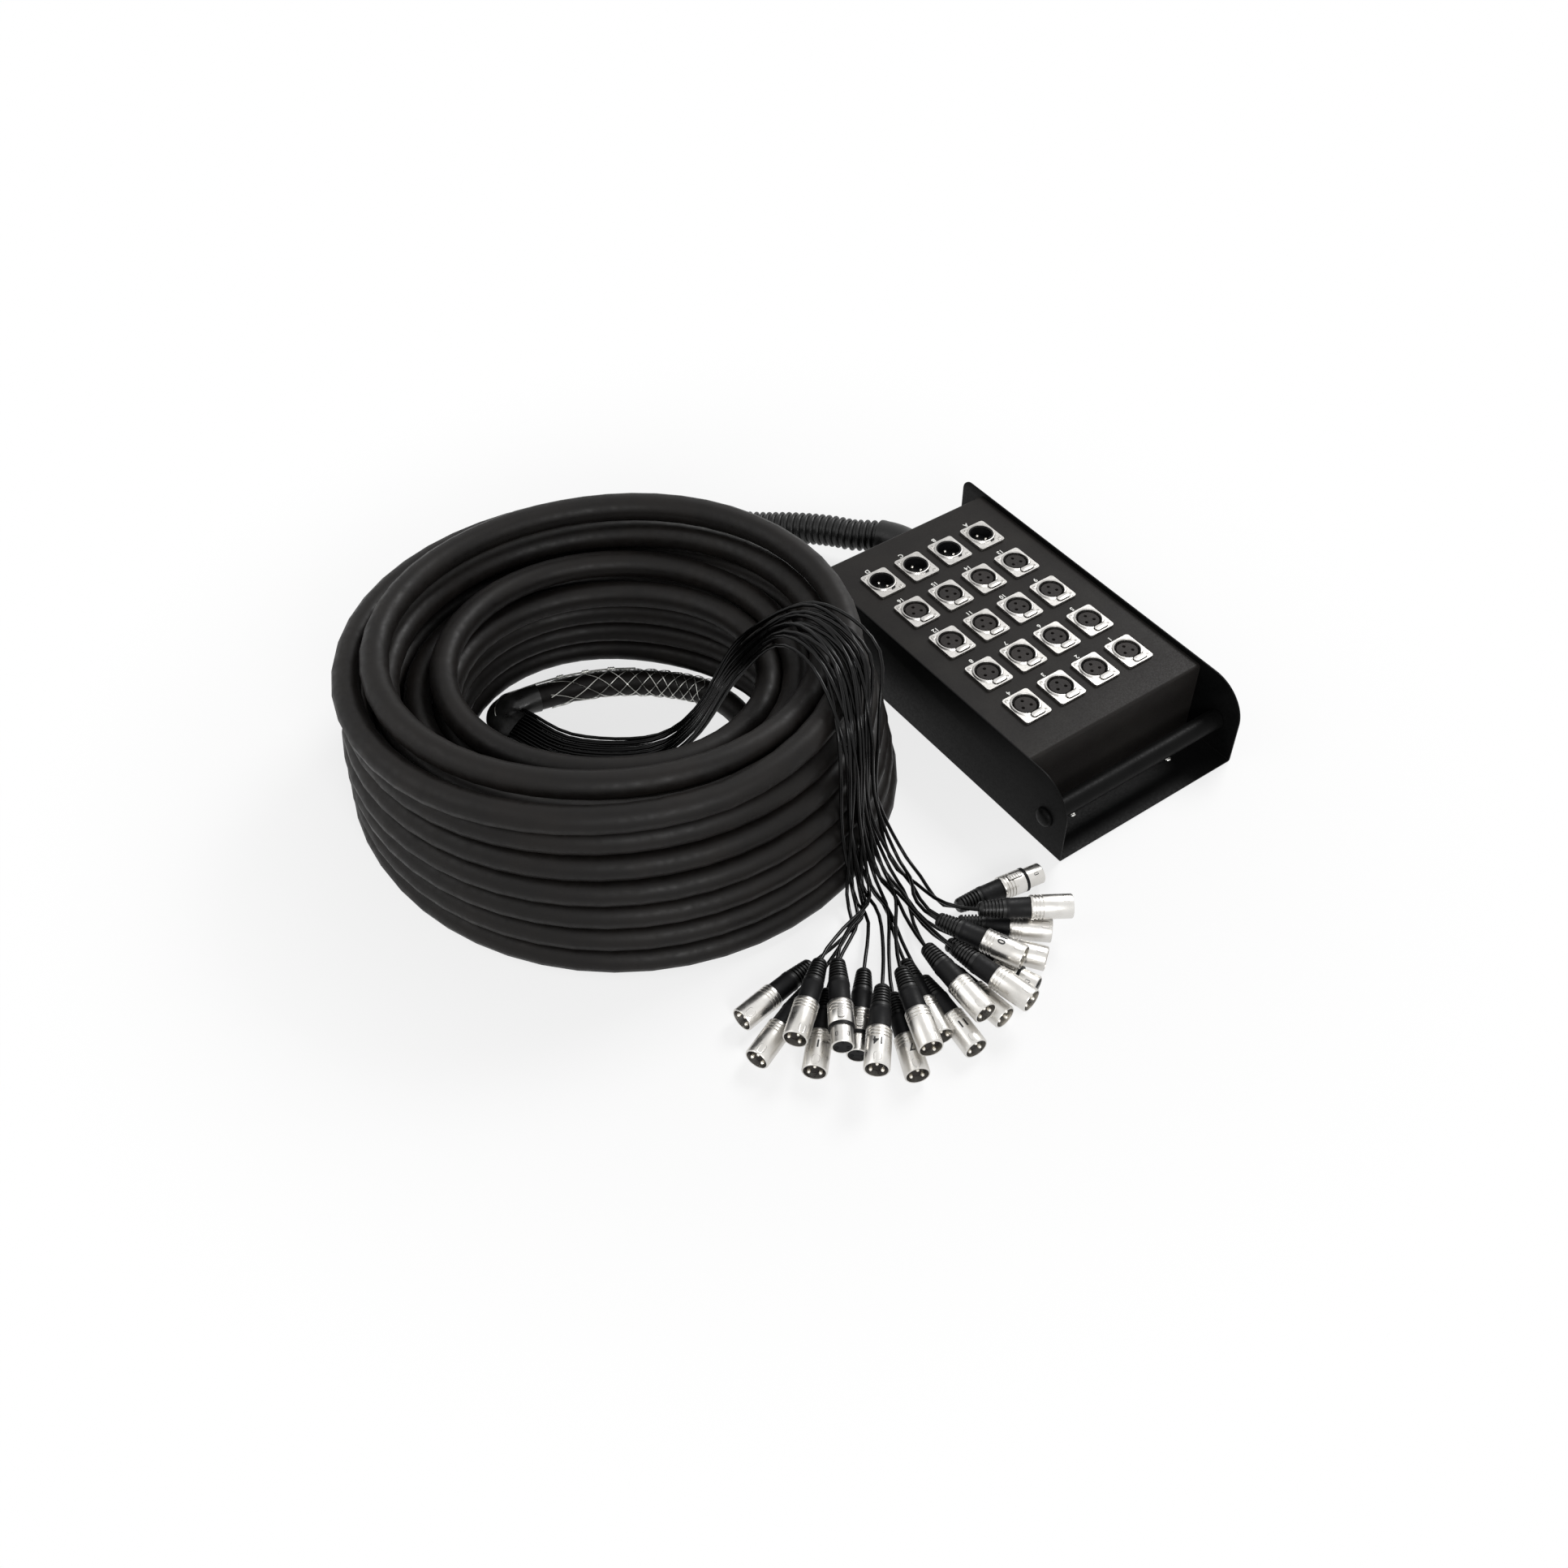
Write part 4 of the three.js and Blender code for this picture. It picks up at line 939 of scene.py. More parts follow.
    def build(self) -> None:
        line = self.centre_line()
        coil = cable("multicore", line, self.diameter / 2, SHEATH, 4)
        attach(coil, BOX)
        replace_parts(coil, "multicore_coil", "multicore_end")
        boot = self.build_boot()
        grip = self.build_grip(line)
        self.build_conduit()
        LOG.info("multicore %.2f m", length_of(line) * MM)

    def build_conduit(self) -> None:
        """Builds the rubber sleeve at the wall and the ribbed conduit."""
        whole = smooth_line(vectors(self.sleeve), 26)
        hose = whole[:17]
        outer = [15 + 0.9 * (i < 3) + 0.5 * (i > 14) - 0.5 * i / 16 for i in range(17)]
        bore = hoops(hose, self.conduit_bore, 32)
        sleeve = Shape().rings([*hoops(hose, outer, 32), *bore[::-1]], closed=True)
        sleeve.tube(vectors((OUTLET_X, y, OUTLET_Z) for y in (137.9, 148.4)), 13.0, 32)
        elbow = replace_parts(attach(sleeve.piece("outlet_sleeve", [RUBBER]), BOX), "cable_sleeve")

        lead, _ = self.ends()
        route = [*whole[16::3], *map(Vector, self.conduit)]
        route += [lead[0] * 2 - lead[1], lead[0], lead[0].lerp(lead[1], 0.5)]
        line = smooth_line(route, 52)
        sizes = {"Pitch": 6.2 * MM, "Ring radius": 12.4 * MM, "Bead radius": 1.75 * MM}
        shape = RibsOnCurve().mesh(line, sizes, RUBBER)
        bore = hoops(line, self.conduit_bore, 28)
        shape.rings([*hoops(line, self.conduit_groove, 28), *bore[::-1]], closed=True)
        hose_piece = shape.piece("ribbed_conduit", [RUBBER], crease=50)
        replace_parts(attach(hose_piece, BOX), "corrugated_conduit")

    def build_grip(self, line: Line) -> Piece:
        """Builds the woven wire grip on the free end, with its crimps and its eye."""
        late = range(len(line) - 45, len(line))
        near, far = (min(late, key=lambda i: (line[i] - end).length) for end in vectors(self.grip))
        frames = frames_along(smooth_line(line[near : far + 1], 120))
        shape = Shape()
        for sign in (-1, 1):
            for wire in range(self.grip_wires):
                points = []
                for i, (point, side, up) in enumerate(frames):
                    share = i / (len(frames) - 1)
                    twist = self.grip_turns * (share - self.grip_slowing * share * share)
                    angle = 2 * math.pi * (wire / self.grip_wires + sign * twist)
                    over = 2 * math.pi * self.grip_wires * twist * sign + wire
                    reach = self.diameter / 2 + self.grip_lift + self.grip_weave * math.sin(over)
                    aside = side * (reach * math.cos(angle))
                    points.append(point + aside + up * (reach * math.sin(angle)))
                shape.tube(points, self.grip_wire_radius, 6)
        self.add_crimps(shape, frames)
        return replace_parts(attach(shape.piece("wire_grip", [WIRE]), BOX), "pulling_grip")

    def add_crimps(self, shape: Shape, frames: Sequence[Frame]) -> None:
        """Adds the crimped sleeves on top of the grip and the thin wire eye past its end."""
        above, beside = self.crimp_place
        for share in self.crimps:
            point, side, up = frames[round(share * (len(frames) - 1))]
            ahead = up.cross(side)
            middle = point + up * above - side * beside
            shape.tube([middle - ahead * 3.0, middle + ahead * 3.0], 1.2, 10)
            for offset in (-1.9, 0.0, 1.9):
                shape.tube([middle + ahead * (offset + step) for step in (-0.45, 0.45)], 1.65, 10)
        over = [frames[round(share * (len(frames) - 1))] for share in (0.45, *self.crimps, 1)]
        for lift, lean in ((0.0, 0.0), (0.6, 1.6)):
            wire = [p + up * (above + lift) - side * (beside - lean) for p, side, up in over]
            shape.tube(smooth_line([*wire, *vectors(self.eye)], 60), 0.45, 6)

    def build_boot(self) -> Piece:
        """Builds the shrunk boot: round on the multicore, folded, flat at its mouth."""
        ends = vectors(self.free_end[-2:])
        away = (ends[1] - ends[0]).normalized()
        route = [ends[1] + away * reach for reach in (0.3, 10)]
        line = smooth_line([*route, *map(Vector, self.boot)], 30)
        outer, inner = [], []
        for i, frame in enumerate(frames_along(line)):
            share = i / (len(line) - 1)
            width = self.boot_back + (self.boot_mouth[0] - self.boot_back) * share * share
            height = self.boot_back + (self.boot_mouth[1] - self.boot_back) * share
            width *= 1 + 0.05 * math.sin(9 * share) * math.sin(math.pi * share)
            outer.append(round_ring(*frame, width, height, 36))
            inner.append(round_ring(*frame, width - 1, height - 1, 36))
        boot = Shape().rings([*outer, *inner[:18:-1]])
        boot = boot.piece("breakout_sleeve", [SHRINK], crease=60)
        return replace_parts(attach(boot, BOX), "breakout_boot")


# Tails and plugs


@dataclass(frozen=True)
class TailEnd:
    """Where a tail ends: its boot's end, its plug's heading, height, letter and number."""

    x: float
    y: float
    heading: float
    height: float
    letter: str = ""
    number: str = ""
    pull: float = 23.0

    @property
    def kind(self) -> Kind:
        """Whether the tail's plug is an input or a return."""
        return Kind.RETURN if self.letter else Kind.INPUT

    def frame(self) -> Matrix:
        """The plug's frame, its nose towards +X."""
        return shift(self.x, self.y, self.height) @ spin(self.heading, "Z")


FLOOR_AXIS = 9.5
UPPER_AXIS = 28.4
TAIL_ENDS = (
    TailEnd(-310, -145, -171, FLOOR_AXIS),
    TailEnd(-325, -162, -157, FLOOR_AXIS),
    TailEnd(-314, -171, -134, FLOOR_AXIS, number="1"),
    TailEnd(-311, -158, -141, UPPER_AXIS),
    TailEnd(-282, -172, -131, FLOOR_AXIS, "b"),
    TailEnd(-301, -165, -124, UPPER_AXIS, "a"),
    TailEnd(-278, -201, -114, FLOOR_AXIS, number="7"),
    TailEnd(-289, -201, -131, UPPER_AXIS, number="14"),
    TailEnd(-253, -183, -106, FLOOR_AXIS),
    TailEnd(-269, -197, -111, UPPER_AXIS),
    TailEnd(-252, -202, -96, FLOOR_AXIS, number="11"),
    TailEnd(-242, -192, -92, UPPER_AXIS),
    TailEnd(-233, -194, -84, FLOOR_AXIS),
    TailEnd(-226, -204, -78, UPPER_AXIS),
    TailEnd(-217, -188, -68, FLOOR_AXIS, "c"),
    TailEnd(-219, -177, -66, UPPER_AXIS, number="10"),
    TailEnd(-208, -185, -54, FLOOR_AXIS),
    TailEnd(-198, -177, -42, FLOOR_AXIS),
    TailEnd(-189, -165, -9, FLOOR_AXIS, "d", pull=10.0),
    TailEnd(-189, -187, -33, UPPER_AXIS),
)
LOOMS = {0: "tails_left", 8: "tails_middle", 14: "tails_right"}


@dataclass
class Tails:
    """The twenty thin tails in their shared run over the coil.

    A row of the run is a point, the up direction there and how far the tails spread.
    """

    diameter: float = 2.8
    pitch: float = 3.3
    layer_rise: float = 3.1
    wander: float = 1.8
    lift: float = 0.55
    run: tuple[tuple[float, ...], ...] = (
        (-361.9, 185.1, 11.1, 0, 0, 1, 1),
        (-342, 147, 3.5, 0, 0, 1, 1.05),
        (-283, 103, 4, -0.1, 0.1, 1, 1.05),
        (-254, 86, 32, -0.7, 0.6, 0.5, 1.05),
        (-230, 50, 122, -0.7, 0.6, 0.5, 1.1),
        (-207, 13, 167, -0.1, 0.1, 1, 1.25),
        (-206, -38, 171, 0.1, -0.2, 1, 1.25),
        (-224, -77, 144, 0.4, -0.85, 0.35, 1.2),
        (-225, -86, 60, 0.42, -0.9, 0.2, 1.35),
        (-222, -107, 3, 0, 0, 1, 1.7),
    )

    def stations(self, index: int) -> list[Vector]:
        """Points of one tail, from inside the boot to inside its plug."""
        end = TAIL_ENDS[index]
        column = index // 2 - (len(TAIL_ENDS) / 2 - 1) / 2
        layer = index % 2
        centres = [Vector(row[:3]) for row in self.run]
        ahead = headings(centres)
        ahead[-1] = ahead[-1].to_2d().to_3d().normalized()
        points = []
        for i, (row, centre, heading) in enumerate(zip(self.run, centres, ahead)):
            side = Vector(row[3:6]).normalized().cross(heading).normalized()
            up = heading.cross(side)
            spread = self.pitch * row[6]
            wander = self.wander * (min(i, 6) / 6) ** 2 * math.sin(2.1 * index + 0.9 * i)
            lift = min(i, 2) / 2 * (0.5 + 0.5 * math.sin(1.7 * index + 1.1 * i))
            rise = (layer + lift * self.lift) * self.layer_rise * row[6]
            points.append(centre + side * ((column + layer / 2 + wander) * spread) + up * rise)
        start = points[-1]
        nose = (end.frame().to_3x3() @ Vector((1, 0, 0))).normalized()
        place = Vector((end.x, end.y, end.height))
        square = place - nose * (2 * self.diameter)
        pulls = [start + ahead[-1] * end.pull, square - nose * end.pull]
        for share in (1 / 3, 2 / 3):
            rest = 1 - share
            early = start * rest**3 + pulls[0] * (3 * rest**2 * share)
            points.append(early + pulls[1] * (3 * rest * share**2) + square * share**3)
        first = points[0] - (points[1] - points[0]).normalized() * 9
        return [first, *points, square, place, place + nose * 11, place + nose * 22]

    def build(self, plugs: Sequence[list[Piece]]) -> None:
        for index, pieces in enumerate(plugs):
            line = smooth_line(self.stations(index), 60)
            tail = cable(f"tail_{index + 1:02d}", line, self.diameter / 2, TAIL_PVC)
            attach(tail, BOX)
            if index in LOOMS:
                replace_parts(tail, LOOMS[index])


@dataclass
class Plug:
    """A cable plug along +X from its boot's end, as an input plug or a return plug."""

    boot: float = 20.0
    back: float = 17.0
    shell: float = 31.0
    boot_tail_radius: float = 5.5
    boot_radius: float = 7.2
    ribs: int = 6
    rib_pitch: float = 2.55
    back_radius: float = 7.9
    shell_radius: float = 9.2
    well_radius: float = 8.0
    grooves: tuple[float, ...] = (2.4, 5.0, 7.6)
    groove_depth: float = 0.7
    well_depth: float = 6.0
    ring_back: float = 12.0  # where a return plug's ring starts, behind an input plug's tip
    nose_length: float = 16.0
    latch_back: float = 19.8
    number_place: float = 13.0
    number_height: float = 5.6
    roll: int = 25  # how far a plug may lie turned to either side, in degrees
    sides: int = 40

    @property
    def lay(self) -> Matrix:
        """Turns a form round +Z so that it lies along +X."""
        return spin(90, "Y")

    @property
    def tip(self) -> float:
        """Where the shell ends."""
        return self.boot + self.back + self.shell

    @property
    def latch_place(self) -> Matrix:
        """The middle of a return plug's latch, on the plug's axis."""
        return shift(self.tip - self.latch_back, 0, 0)

    def rubber(self) -> Shape:
        """The ribbed boot and the smooth back shell, on slots 0 and 1."""
        tail, r = self.boot_tail_radius, self.boot_radius
        profile = [(0.0, -0.6), (tail - 1.2, -0.6), (tail, 0.8)]
        for rib in range(self.ribs):
            low = 2.6 + rib * self.rib_pitch
            size = tail + (r - tail) * low / 16
            profile += [(size, low), (size - 1.2, low + 0.35), (size - 1.2, low + 1.1)]
            profile += [(size + 0.25, low + 1.4)]
        profile += [(r, self.boot - 1.6), (r + 0.3, self.boot), (0.0, self.boot)]
        shape = Shape().turned(profile, self.sides, 0, self.lay)
        start, end, back = self.boot, self.boot + self.back, self.back_radius
        collar = [(0.0, start - 0.6), (r + 0.5, start - 0.6), (back - 0.1, start + 0.4)]
        collar += [(back - 0.1, start + 2.2), (back - 0.35, start + 2.6), (back, end - 1)]
        collar += [(back, end + 0.4), (0.0, end + 0.4)]
        return shape.turned(collar, self.sides, 1, self.lay)

    def front(self, kind: Kind) -> Shape:
        """The metal shell on slot 0, its dark parts on slot 1 and its well's floor on slot 2."""
        start, tip, r, lay = self.boot + self.back, self.tip, self.shell_radius, self.lay
        profile = [(0.0, start), (r - 0.3, start), (r, start + 0.4)]
        for groove in self.grooves:
            at = start + groove
            low = r - self.groove_depth
            profile += [(r, at), (low, at + 0.2), (low, at + 1.2), (r, at + 1.4)]
        if kind is Kind.RETURN:
            return self.return_front(profile)
        floor = tip - self.well_depth
        profile += [(r, tip - 0.8), (r - 0.4, tip), (self.well_radius, tip)]
        profile += [(self.well_radius, floor), (0.0, floor)]
        shape = Shape().turned(profile, self.sides, 0, lay)
        shape.cylinder(7.7, floor, floor + 1.2, self.sides, 2, lay)
        # The latch slot's gap is a dark sheet of painted shade, with the tongue over it
        shape.join(self.window(tip - 5.2, math.pi / 2, 6.4, 5.6, r))
        tongue = self.window(tip - 4.2, math.pi / 2, 6.6, 3.8, r + 0.05)
        tongue.slots = [0] * len(tongue.faces)
        return shape.join(tongue)

    def return_front(self, profile: Sequence[Pair]) -> Shape:
        """A return plug's shell from its rear profile on: pocket, ring, nose and insert."""
        r, sides, lay = self.shell_radius, self.sides, self.lay
        ring = self.tip - self.ring_back
        base, nose = ring + 2, ring + self.nose_length
        shoulder = [(r, ring - 0.6), (r - 0.4, ring), (r - 2.2, ring), (0.0, ring)]
        shape = Shape().turned([*profile, *shoulder], sides, 0, lay)
        shape = carved(shape, Shape().block((11.8, 5.2, 1.5, 4), 6.1, 12.0, 0, self.latch_place))
        shape.cylinder(r + 0.1, ring, base, sides, 1, lay)
        mouth = [(6.9, base), (8.0, base), (8.0, nose - 0.5), (7.6, nose), (6.9, nose)]
        shape.turned(mouth, sides, 0, lay)
        face = nose - 0.9
        shape.cylinder(6.6, base, face, sides, 1, lay)
        rim = [(0.95, face), (1.3, face), (1.3, face + 0.25), (0.95, face + 0.25)]
        for y, z in on_circle(HOLE_CIRCLE, PLUG_CONTACTS):
            shape.turned(rim, 16, 1, shift(0, y, z) @ lay)
        for angle in (60, 120):
            shape.join(self.window(ring + 9.5, math.radians(angle), 3.6, 2.0, 8.0))
        return shape

    def window(self, at: float, angle: float, length: float, width: float, radius: float) -> Shape:
        """A thin dark rectangle that lies on a barrel, on slot 1: painted shade for a gap in it.

        Args:
            at: The middle's distance along the plug.
            angle: The middle's angle round the plug.
            length: Size along the plug.
            width: Size round the plug.
            radius: The barrel's radius.

        Returns:
            The rectangle, its faces in strips that follow the barrel.
        """
        outline = rounded_rectangle(length, width, min(length, width) * 0.3, 3)
        points = []
        for low in (radius - 0.2, radius + 0.03):
            for x, y in outline:
                turn = angle + y / radius
                points.append((at + x, low * math.cos(turn), low * math.sin(turn)))
        count = len(outline)
        faces = [[i, (i + 1) % count, count + (i + 1) % count, count + i] for i in range(count)]
        for low, turn in ((0, -1), (count, 1)):
            for i in range(count // 2 - 1):
                strip = [low + i, low + i + 1, low + count - 2 - i, low + count - 1 - i]
                faces.append(strip[::turn])
        return Shape().add(points, faces, 1)

    def pins(self) -> Shape:
        """The three contacts in an input plug's well."""
        tip = self.tip
        pin = [(0.0, tip - 5.5), (1.4, tip - 5.5), (1.4, tip - 1.4), (0.8, tip - 0.6)]
        shape = Shape()
        for y, z in on_circle(PIN_CIRCLE, PLUG_CONTACTS):
            shape.turned([*pin, (0.0, tip - 0.5)], 16, 0, shift(0, y, z) @ self.lay)
        return shape

    def number(self, text: str) -> Shape:
        """A printed number wrapped round the shell, its top towards the nose."""
        flat = lettering(text, self.number_height, 0.5)
        middle, r = self.boot + self.back + self.number_place, self.shell_radius
        points = []
        for point in flat.points:
            angle, reach = math.pi / 2 + point.x / r, r + point.z
            points.append((middle + point.y, reach * math.cos(angle), reach * math.sin(angle)))
        return Shape().add(points, flat.faces)

    def latch(self) -> Shape:
        """The ribbed latch of a return plug, on top of its shell."""
        end, top = self.latch_place.translation.x + 5.5, self.shell_radius + 1.0
        shape = Shape().block((11, 4.4, 1.2, 4), top - 2.6, top - 0.35, 0, self.latch_place)
        for rib in range(4):
            bar = shift(end - 8.6 + rib * 2.0, 0, 0)
            shape.block((0.9, 3.6, 0.4, 3), top - 0.5, top, 0, bar)
        return shape

    def build(self, index: int, end: TailEnd) -> list[Piece]:
        """Builds one plug.

        Args:
            index: The tail's number in the fan.
            end: Where the tail ends.

        Returns:
            The plug's pieces.
        """
        is_return = end.kind is Kind.RETURN
        mark = end.letter or f"{index + 1:02d}"
        name = f"{end.kind.value}_plug_{mark}"
        turn = 0 if is_return or end.number else (index * 67) % (2 * self.roll) - self.roll
        rolled = end.frame() @ spin(turn, "X")
        forms = [
            ("boot", self.rubber(), [RUBBER, NYLON]),
            ("shell", self.front(end.kind), [NICKEL_SHELL, NYLON, INSERT]),
        ]
        if not is_return:
            forms.append(("pins", self.pins(), [CONTACT]))
        if end.number:
            forms.append(("number", self.number(end.number), [BLACK_INK]))
        pieces = []
        for part, form, finishes in forms:
            placed = Shape().join(form, rolled)
            pieces.append(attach(placed.piece(f"{name}_{part}", finishes), BOX))
        if is_return:
            for piece in pieces[:2]:
                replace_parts(piece, name)
            placed = Shape().join(self.latch(), end.frame())
            latch = placed.piece(f"latch_of_{name}", [NICKEL], 0.15)
            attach(latch, f"plug_latch_{end.letter}")
            pieces.append(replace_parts(latch, f"return_plug_latch_{end.letter}"))
        return pieces


# The box


@dataclass
class Housing:
    """The folded tray, the folded panel, the handle bar and its bolts."""

    width: float = 185.0
    height: float = 74.2
    half_length: float = 171.4
    steel: float = 1.5
    bend: float = 2.0
    front_corner: float = 34.0
    rear_corner: float = 9.5
    panel_top: float = 70.0
    panel_front: float = -123.0
    panel_rear: float = 148.0
    panel_bend: float = 3.0
    panel_foot: float = 12.0
    hole_radius: float = 11.9
    outlet_radius: float = 13.3
    fit: float = 0.3
    bar_radius: float = 8.25
    bar: Pair = (-149.7, 32.5)
    screws: tuple[float, ...] = (-52.0, 52.0)
    screw_y: float = -141.4

    @staticmethod
    def _across(outline: Sequence[Pair], width: float) -> Shape:
        """Extrudes an outline of the YZ plane along X about the middle."""
        return Shape().rings([[(x, y, z) for y, z in outline] for x in (-width / 2, width / 2)])

    def tray(self) -> None:
        """The bottom and both cheeks folded from one sheet."""
        half, top, r = self.width / 2, self.height + 2, self.bend
        inner, small = half - self.steel, r - self.steel
        outline = [(-half, top), *arc((-half + r, r), r, 180, 270, 6)]
        outline += [*arc((half - r, r), r, 270, 360, 6), (half, top), (inner, top)]
        outline += arc((half - r, r), small, 0, -90, 6)
        outline += [*arc((-half + r, r), small, 270, 180, 6), (-inner, top)]
        y, front, rear = self.half_length, self.front_corner, self.rear_corner
        folded = Shape().rings([[(x, end, z) for x, z in outline] for end in (-y - 2, y + 2)])
        side = [(-y, 0), (y, 0), *arc((y - rear, self.height - rear), rear, 0, 90, 10)]
        side += arc((-y + front, self.height - front), front, 90, 180, 24)
        tray = carved(folded, self._across(side, self.width + 4), Cut.INSIDE)
        tray = tray.piece("folded_tray", [POWDER_COAT], 0.3, 30)
        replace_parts(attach(tray, BOX), "housing_tray")

    def panel(self, sockets: Sequence[Pair]) -> None:
        """The panel with its twenty round holes, whose places are given, and the outlet."""
        low, t, b = self.steel + self.fit, self.steel, self.panel_bend
        front, rear, top, foot = self.panel_front, self.panel_rear, self.panel_top, self.panel_foot
        outline = [(front + foot, low), (front + foot, low + t), (front + t, low + t)]
        outline += arc((front + b, top - b), b - t, 180, 90, 5)
        outline += arc((rear - b, top - b), b - t, 90, 0, 5)
        outline += [(rear - t, low + t), (rear - foot, low + t), (rear - foot, low), (rear, low)]
        outline += arc((rear - b, top - b), b, 0, 90, 5)
        outline += [*arc((front + b, top - b), b, 90, 180, 5), (front, low)]
        sheet = self._across(outline, self.width - 2 * (self.steel + self.fit))
        holes = Shape()
        for x, y in sockets:
            holes.cylinder(self.hole_radius, top - 6, top + 4, 24, 0, shift(x, y, 0))
        outlet = shift(OUTLET_X, 0, OUTLET_Z) @ spin(-90, "X")
        holes.cylinder(self.outlet_radius, rear - 8, rear + 4, 24, 0, outlet)
        panel = carved(sheet, holes).piece("folded_panel", [PANEL_PAINT], 0.0, 30)
        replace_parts(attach(panel, BOX), "connector_panel")

    def handle(self) -> None:
        """The bar, its two domed bolts and the two screws in the tray below it."""
        y, z = self.bar
        half = self.width / 2 - self.steel - self.fit
        r = self.bar_radius
        profile = [(0.0, -half), (r - 0.8, -half), (r, -half + 0.8), (r, half - 0.8)]
        profile += [(r - 0.8, half), (0.0, half)]
        bar = Shape().turned(profile, 48, 0, shift(0, y, z) @ spin(90, "Y"))
        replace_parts(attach(bar.piece("round_bar", [POWDER_COAT]), BOX), "handle_bar")
        dome = [(0.0, -2.0), (3.0, -2.0), (3.0, 0.0), (8.2, 0.0), (8.2, 1.0), (7.7, 2.2)]
        dome += [(6.2, 3.5), (4.0, 4.2), (2.0, 4.5), (0.0, 4.55)]
        for side, sign in (("left", -1), ("right", 1)):
            place = shift(sign * (self.width / 2 + self.fit), y, z) @ spin(sign * 90, "Y")
            bolt = Shape().turned(dome, 36, 0, place)
            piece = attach(bolt.piece(f"domed_bolt_{side}", [POWDER_COAT]), BOX)
            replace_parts(piece, f"handle_bolt_{side}")
        head = [(0.0, 0.0), (2.7, 0.0), (2.7, 0.6), (2.2, 1.2), (1.2, 1.5), (1.0, 1.0), (0.0, 1.0)]
        screws = Shape()
        for x in self.screws:
            screws.turned(head, 24, 0, shift(x, self.screw_y, self.steel))
        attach(screws.piece("tray_screws", [ZINC]), BOX)


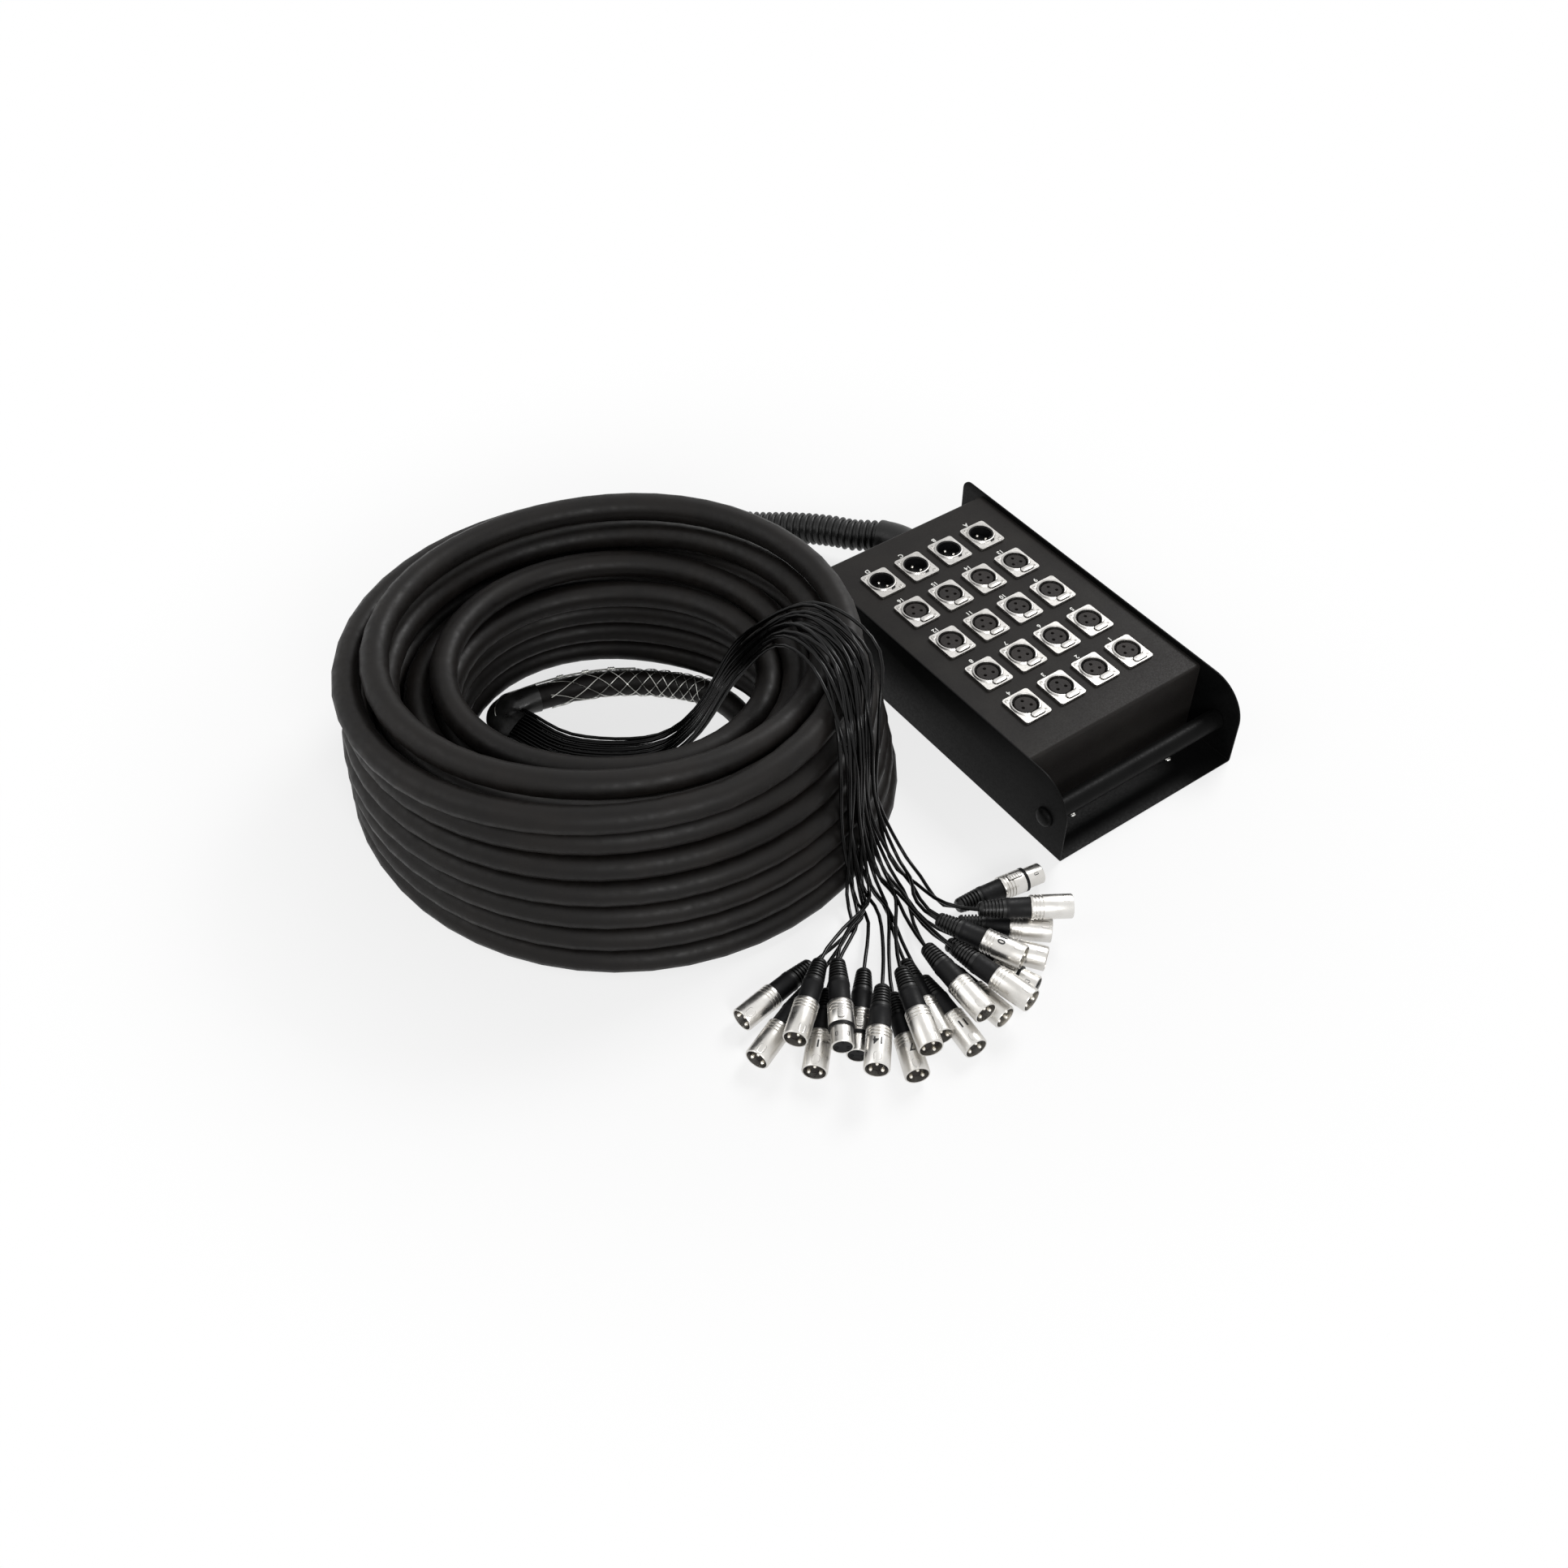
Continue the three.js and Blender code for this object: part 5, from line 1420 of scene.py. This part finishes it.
@dataclass
class Sockets:
    """Twenty panel sockets in five rows of four, with their tabs, screws and labels."""

    column_pitch: float = 36.0
    row_pitch: float = 45.3
    centre_y: float = 12.0
    columns: int = 4
    rows: int = 5
    flange: Pair = (26.0, 31.0)
    thickness: float = 2.0
    corner: float = 2.6
    bore_shift: float = 1.5
    base: float = 70.3
    tab: Pair = (12.0, 4.8)
    tab_place: Pair = (1.5, -11.2)
    screw_place: Pair = (9.4, -12.2)
    label_place: Pair = (-1, 20.4)
    label_height: float = 4.2
    bore: float = 11.6
    well: tuple[Pair, ...] = ((0.0, -20.0), (11.4, -20.0), (11.4, -4.1), (10.5, -4.1))

    def places(self) -> list[tuple[str, float, float]]:
        """Labels and flange centres, the returns first."""
        found = []
        for row in range(self.rows):
            for column in range(self.columns):
                x = ((self.columns - 1) / 2 - column) * self.column_pitch
                y = self.centre_y + ((self.rows - 1) / 2 - row) * self.row_pitch
                number = (self.rows - 1 - row) * self.columns + column + 1
                found.append(("abcd"[column] if row == 0 else str(number), x, y))
        return found

    def bores(self) -> list[Pair]:
        """The middles of the holes under the sockets."""
        return [(x, y + self.bore_shift) for _, x, y in self.places()]

    @property
    def bore_place(self) -> Matrix:
        """The middle of a socket's bore, from its flange's."""
        return shift(0, self.bore_shift, 0)

    def flange_shape(self, kind: Kind) -> Shape:
        """The cast flange with its raised rim and its openings."""
        place = self.bore_place
        plate = Shape().block((*self.flange, self.corner), 0, self.thickness)
        shape = carved(plate, Shape().cylinder(self.bore, -2, 6, 48, 0, place))
        profile = [(10.6, -4.0), (12.6, -4.0), (12.6, 2.0), (11.8, 3.2), (11.1, 3.3), (10.6, 2.8)]
        rim = Shape().turned(profile, 48, 0, place)
        if kind is Kind.RETURN:
            return shape.join(rim)
        width, length = self.tab[0] + 1.4, self.tab[1] + 1.4
        middle = shift(*self.tab_place, 0)
        slot = Shape().block((width, length, length / 2.05), -1, 5, 0, middle)
        return carved(shape, slot).join(carved(rim, slot))

    def input_shape(self) -> Shape:
        """An input socket: the dark insert with its three holes in a ring of air."""
        well = [*self.well, (10.5, -0.9), (9.9, -0.9), (9.9, -9.0), (0.0, -9.0)]
        shape = self.flange_shape(Kind.INPUT).turned(well, 40, 1, self.bore_place)
        profile = [(0.0, -9.0), (8.9, -9.0), (8.9, 1.3), (8.5, 1.8), (0.0, 1.8)]
        holes = Shape()
        for x, y in on_circle(HOLE_CIRCLE, SOCKET_CONTACTS):
            holes.cylinder(1.45, -5.0, 4.0, 14, 0, shift(x, y, 0))
        drilled = carved(Shape().turned(profile, 40), holes)
        drilled.slots = [2] * len(drilled.faces)
        return shape.join(drilled, self.bore_place)

    def return_shape(self) -> Shape:
        """A return socket: a deep well with three pins, and a dark block of painted shade at its
        keyway.
        """
        well = [*self.well, (10.5, 2.0), (9.6, 2.0), (9.6, -6.4), (0.0, -6.4)]
        shape = self.flange_shape(Kind.RETURN).turned(well, 40, 1, self.bore_place)
        pin = [(0.0, -6.6), (1.4, -6.6), (1.4, -3.4), (0.9, -2.8), (0.0, -2.7)]
        for x, y in on_circle(PIN_CIRCLE, SOCKET_CONTACTS):
            shape.turned(pin, 16, 3, self.bore_place @ shift(x, y, 0))
        # A dark block of painted shade shows through the rim where the keyway's notch is
        key = shift(2.6, self.bore_shift - 10.6, 0)
        return shape.block((3.8, 4.4, 0.5, 3), -8, 2.95, 1, key)

    def build(self) -> None:
        """Builds the sockets, their tabs, their screws and the panel's labels."""
        forms = {Kind.RETURN: self.return_shape(), Kind.INPUT: self.input_shape()}
        tab = Shape().block((*self.tab, self.tab[1] / 2.05), 1.6, 3.3)
        tab.block((7.4, 1.3, 0.6), 3.2, 3.42)
        heads, labels = [], Shape()
        turned_over = spin(180, "Z")
        for label, x, y in self.places():
            kind = Kind.RETURN if label.isalpha() else Kind.INPUT
            place = shift(x, y, self.base)
            shape = Shape().join(forms[kind], place)
            socket = shape.piece(f"panel_socket_{label}", [NICKEL, NYLON, INSERT, CONTACT], 0.0, 32)
            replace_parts(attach(socket, BOX), f"{kind.value}_socket_{label}")
            if kind is Kind.INPUT:
                placed = Shape().join(tab, place @ shift(*self.tab_place, -0.3))
                press = placed.piece(f"release_press_{label}", [NICKEL], 0.25)
                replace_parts(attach(press, f"release_tab_{label}"), f"input_latch_{label}")
            for sign in (-1, 1):
                corner = x + sign * self.screw_place[0], y + sign * self.screw_place[1]
                heads.append((*corner, self.base + self.thickness))
            spot = shift(x + self.label_place[0], y + self.label_place[1], self.base - 0.2)
            labels.join(lettering(label.upper(), self.label_height, 0.1), spot @ turned_over)
        turns = {"Least turn": 0.2, "Most turn": 1.4}
        screws = CopiesOnPoints().mesh(heads, self.screw_head(), turns, NICKEL)
        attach(screws.piece("flange_screws", [NICKEL]), BOX)
        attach(labels.piece("panel_labels", [WHITE_INK]), BOX)

    @staticmethod
    def screw_head() -> Shape:
        """A small countersunk head with its cross recess."""
        profile = [(0.0, -1.0), (1.0, -1.0), (2.1, 0.1), (1.9, 0.35), (0.0, 0.5)]
        head = Shape().turned(profile, 20)
        for angle in (0, 90):
            slot = Shape().block((2.3, 0.5, 0.1, 2), 0.02, 2.0, 0, spin(angle, "Z"))
            head = carved(head, slot)
        return head


def dress_hidden_nodes(frame: dict[str, dict[str, Piece]]) -> None:
    """Gives the nodes inside the box their finishes."""
    for node, finish in (("outlet_clamp", NYLON), ("inner_loom", SHEATH)):
        piece = frame["nodes"][node]
        piece.data.materials.clear()
        piece.data.materials.append(finish.material())


def main() -> None:
    """Builds the studio, the cords, the plugs and the box, and reports each piece."""
    logging.basicConfig(level=logging.INFO, format="%(name)s %(message)s")
    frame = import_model()
    studio = Studio()
    studio.camera()
    Multicore().build()
    plug = Plug()
    Tails().build([plug.build(index, end) for index, end in enumerate(TAIL_ENDS)])
    sockets = Sockets()
    housing = Housing()
    housing.tray()
    housing.panel(sockets.bores())
    housing.handle()
    sockets.build()
    dress_hidden_nodes(frame)
    studio.floor()
    studio.light()
    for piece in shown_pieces():
        LOG.info("piece %s", piece.name)


if __name__ == "__main__":
    main()
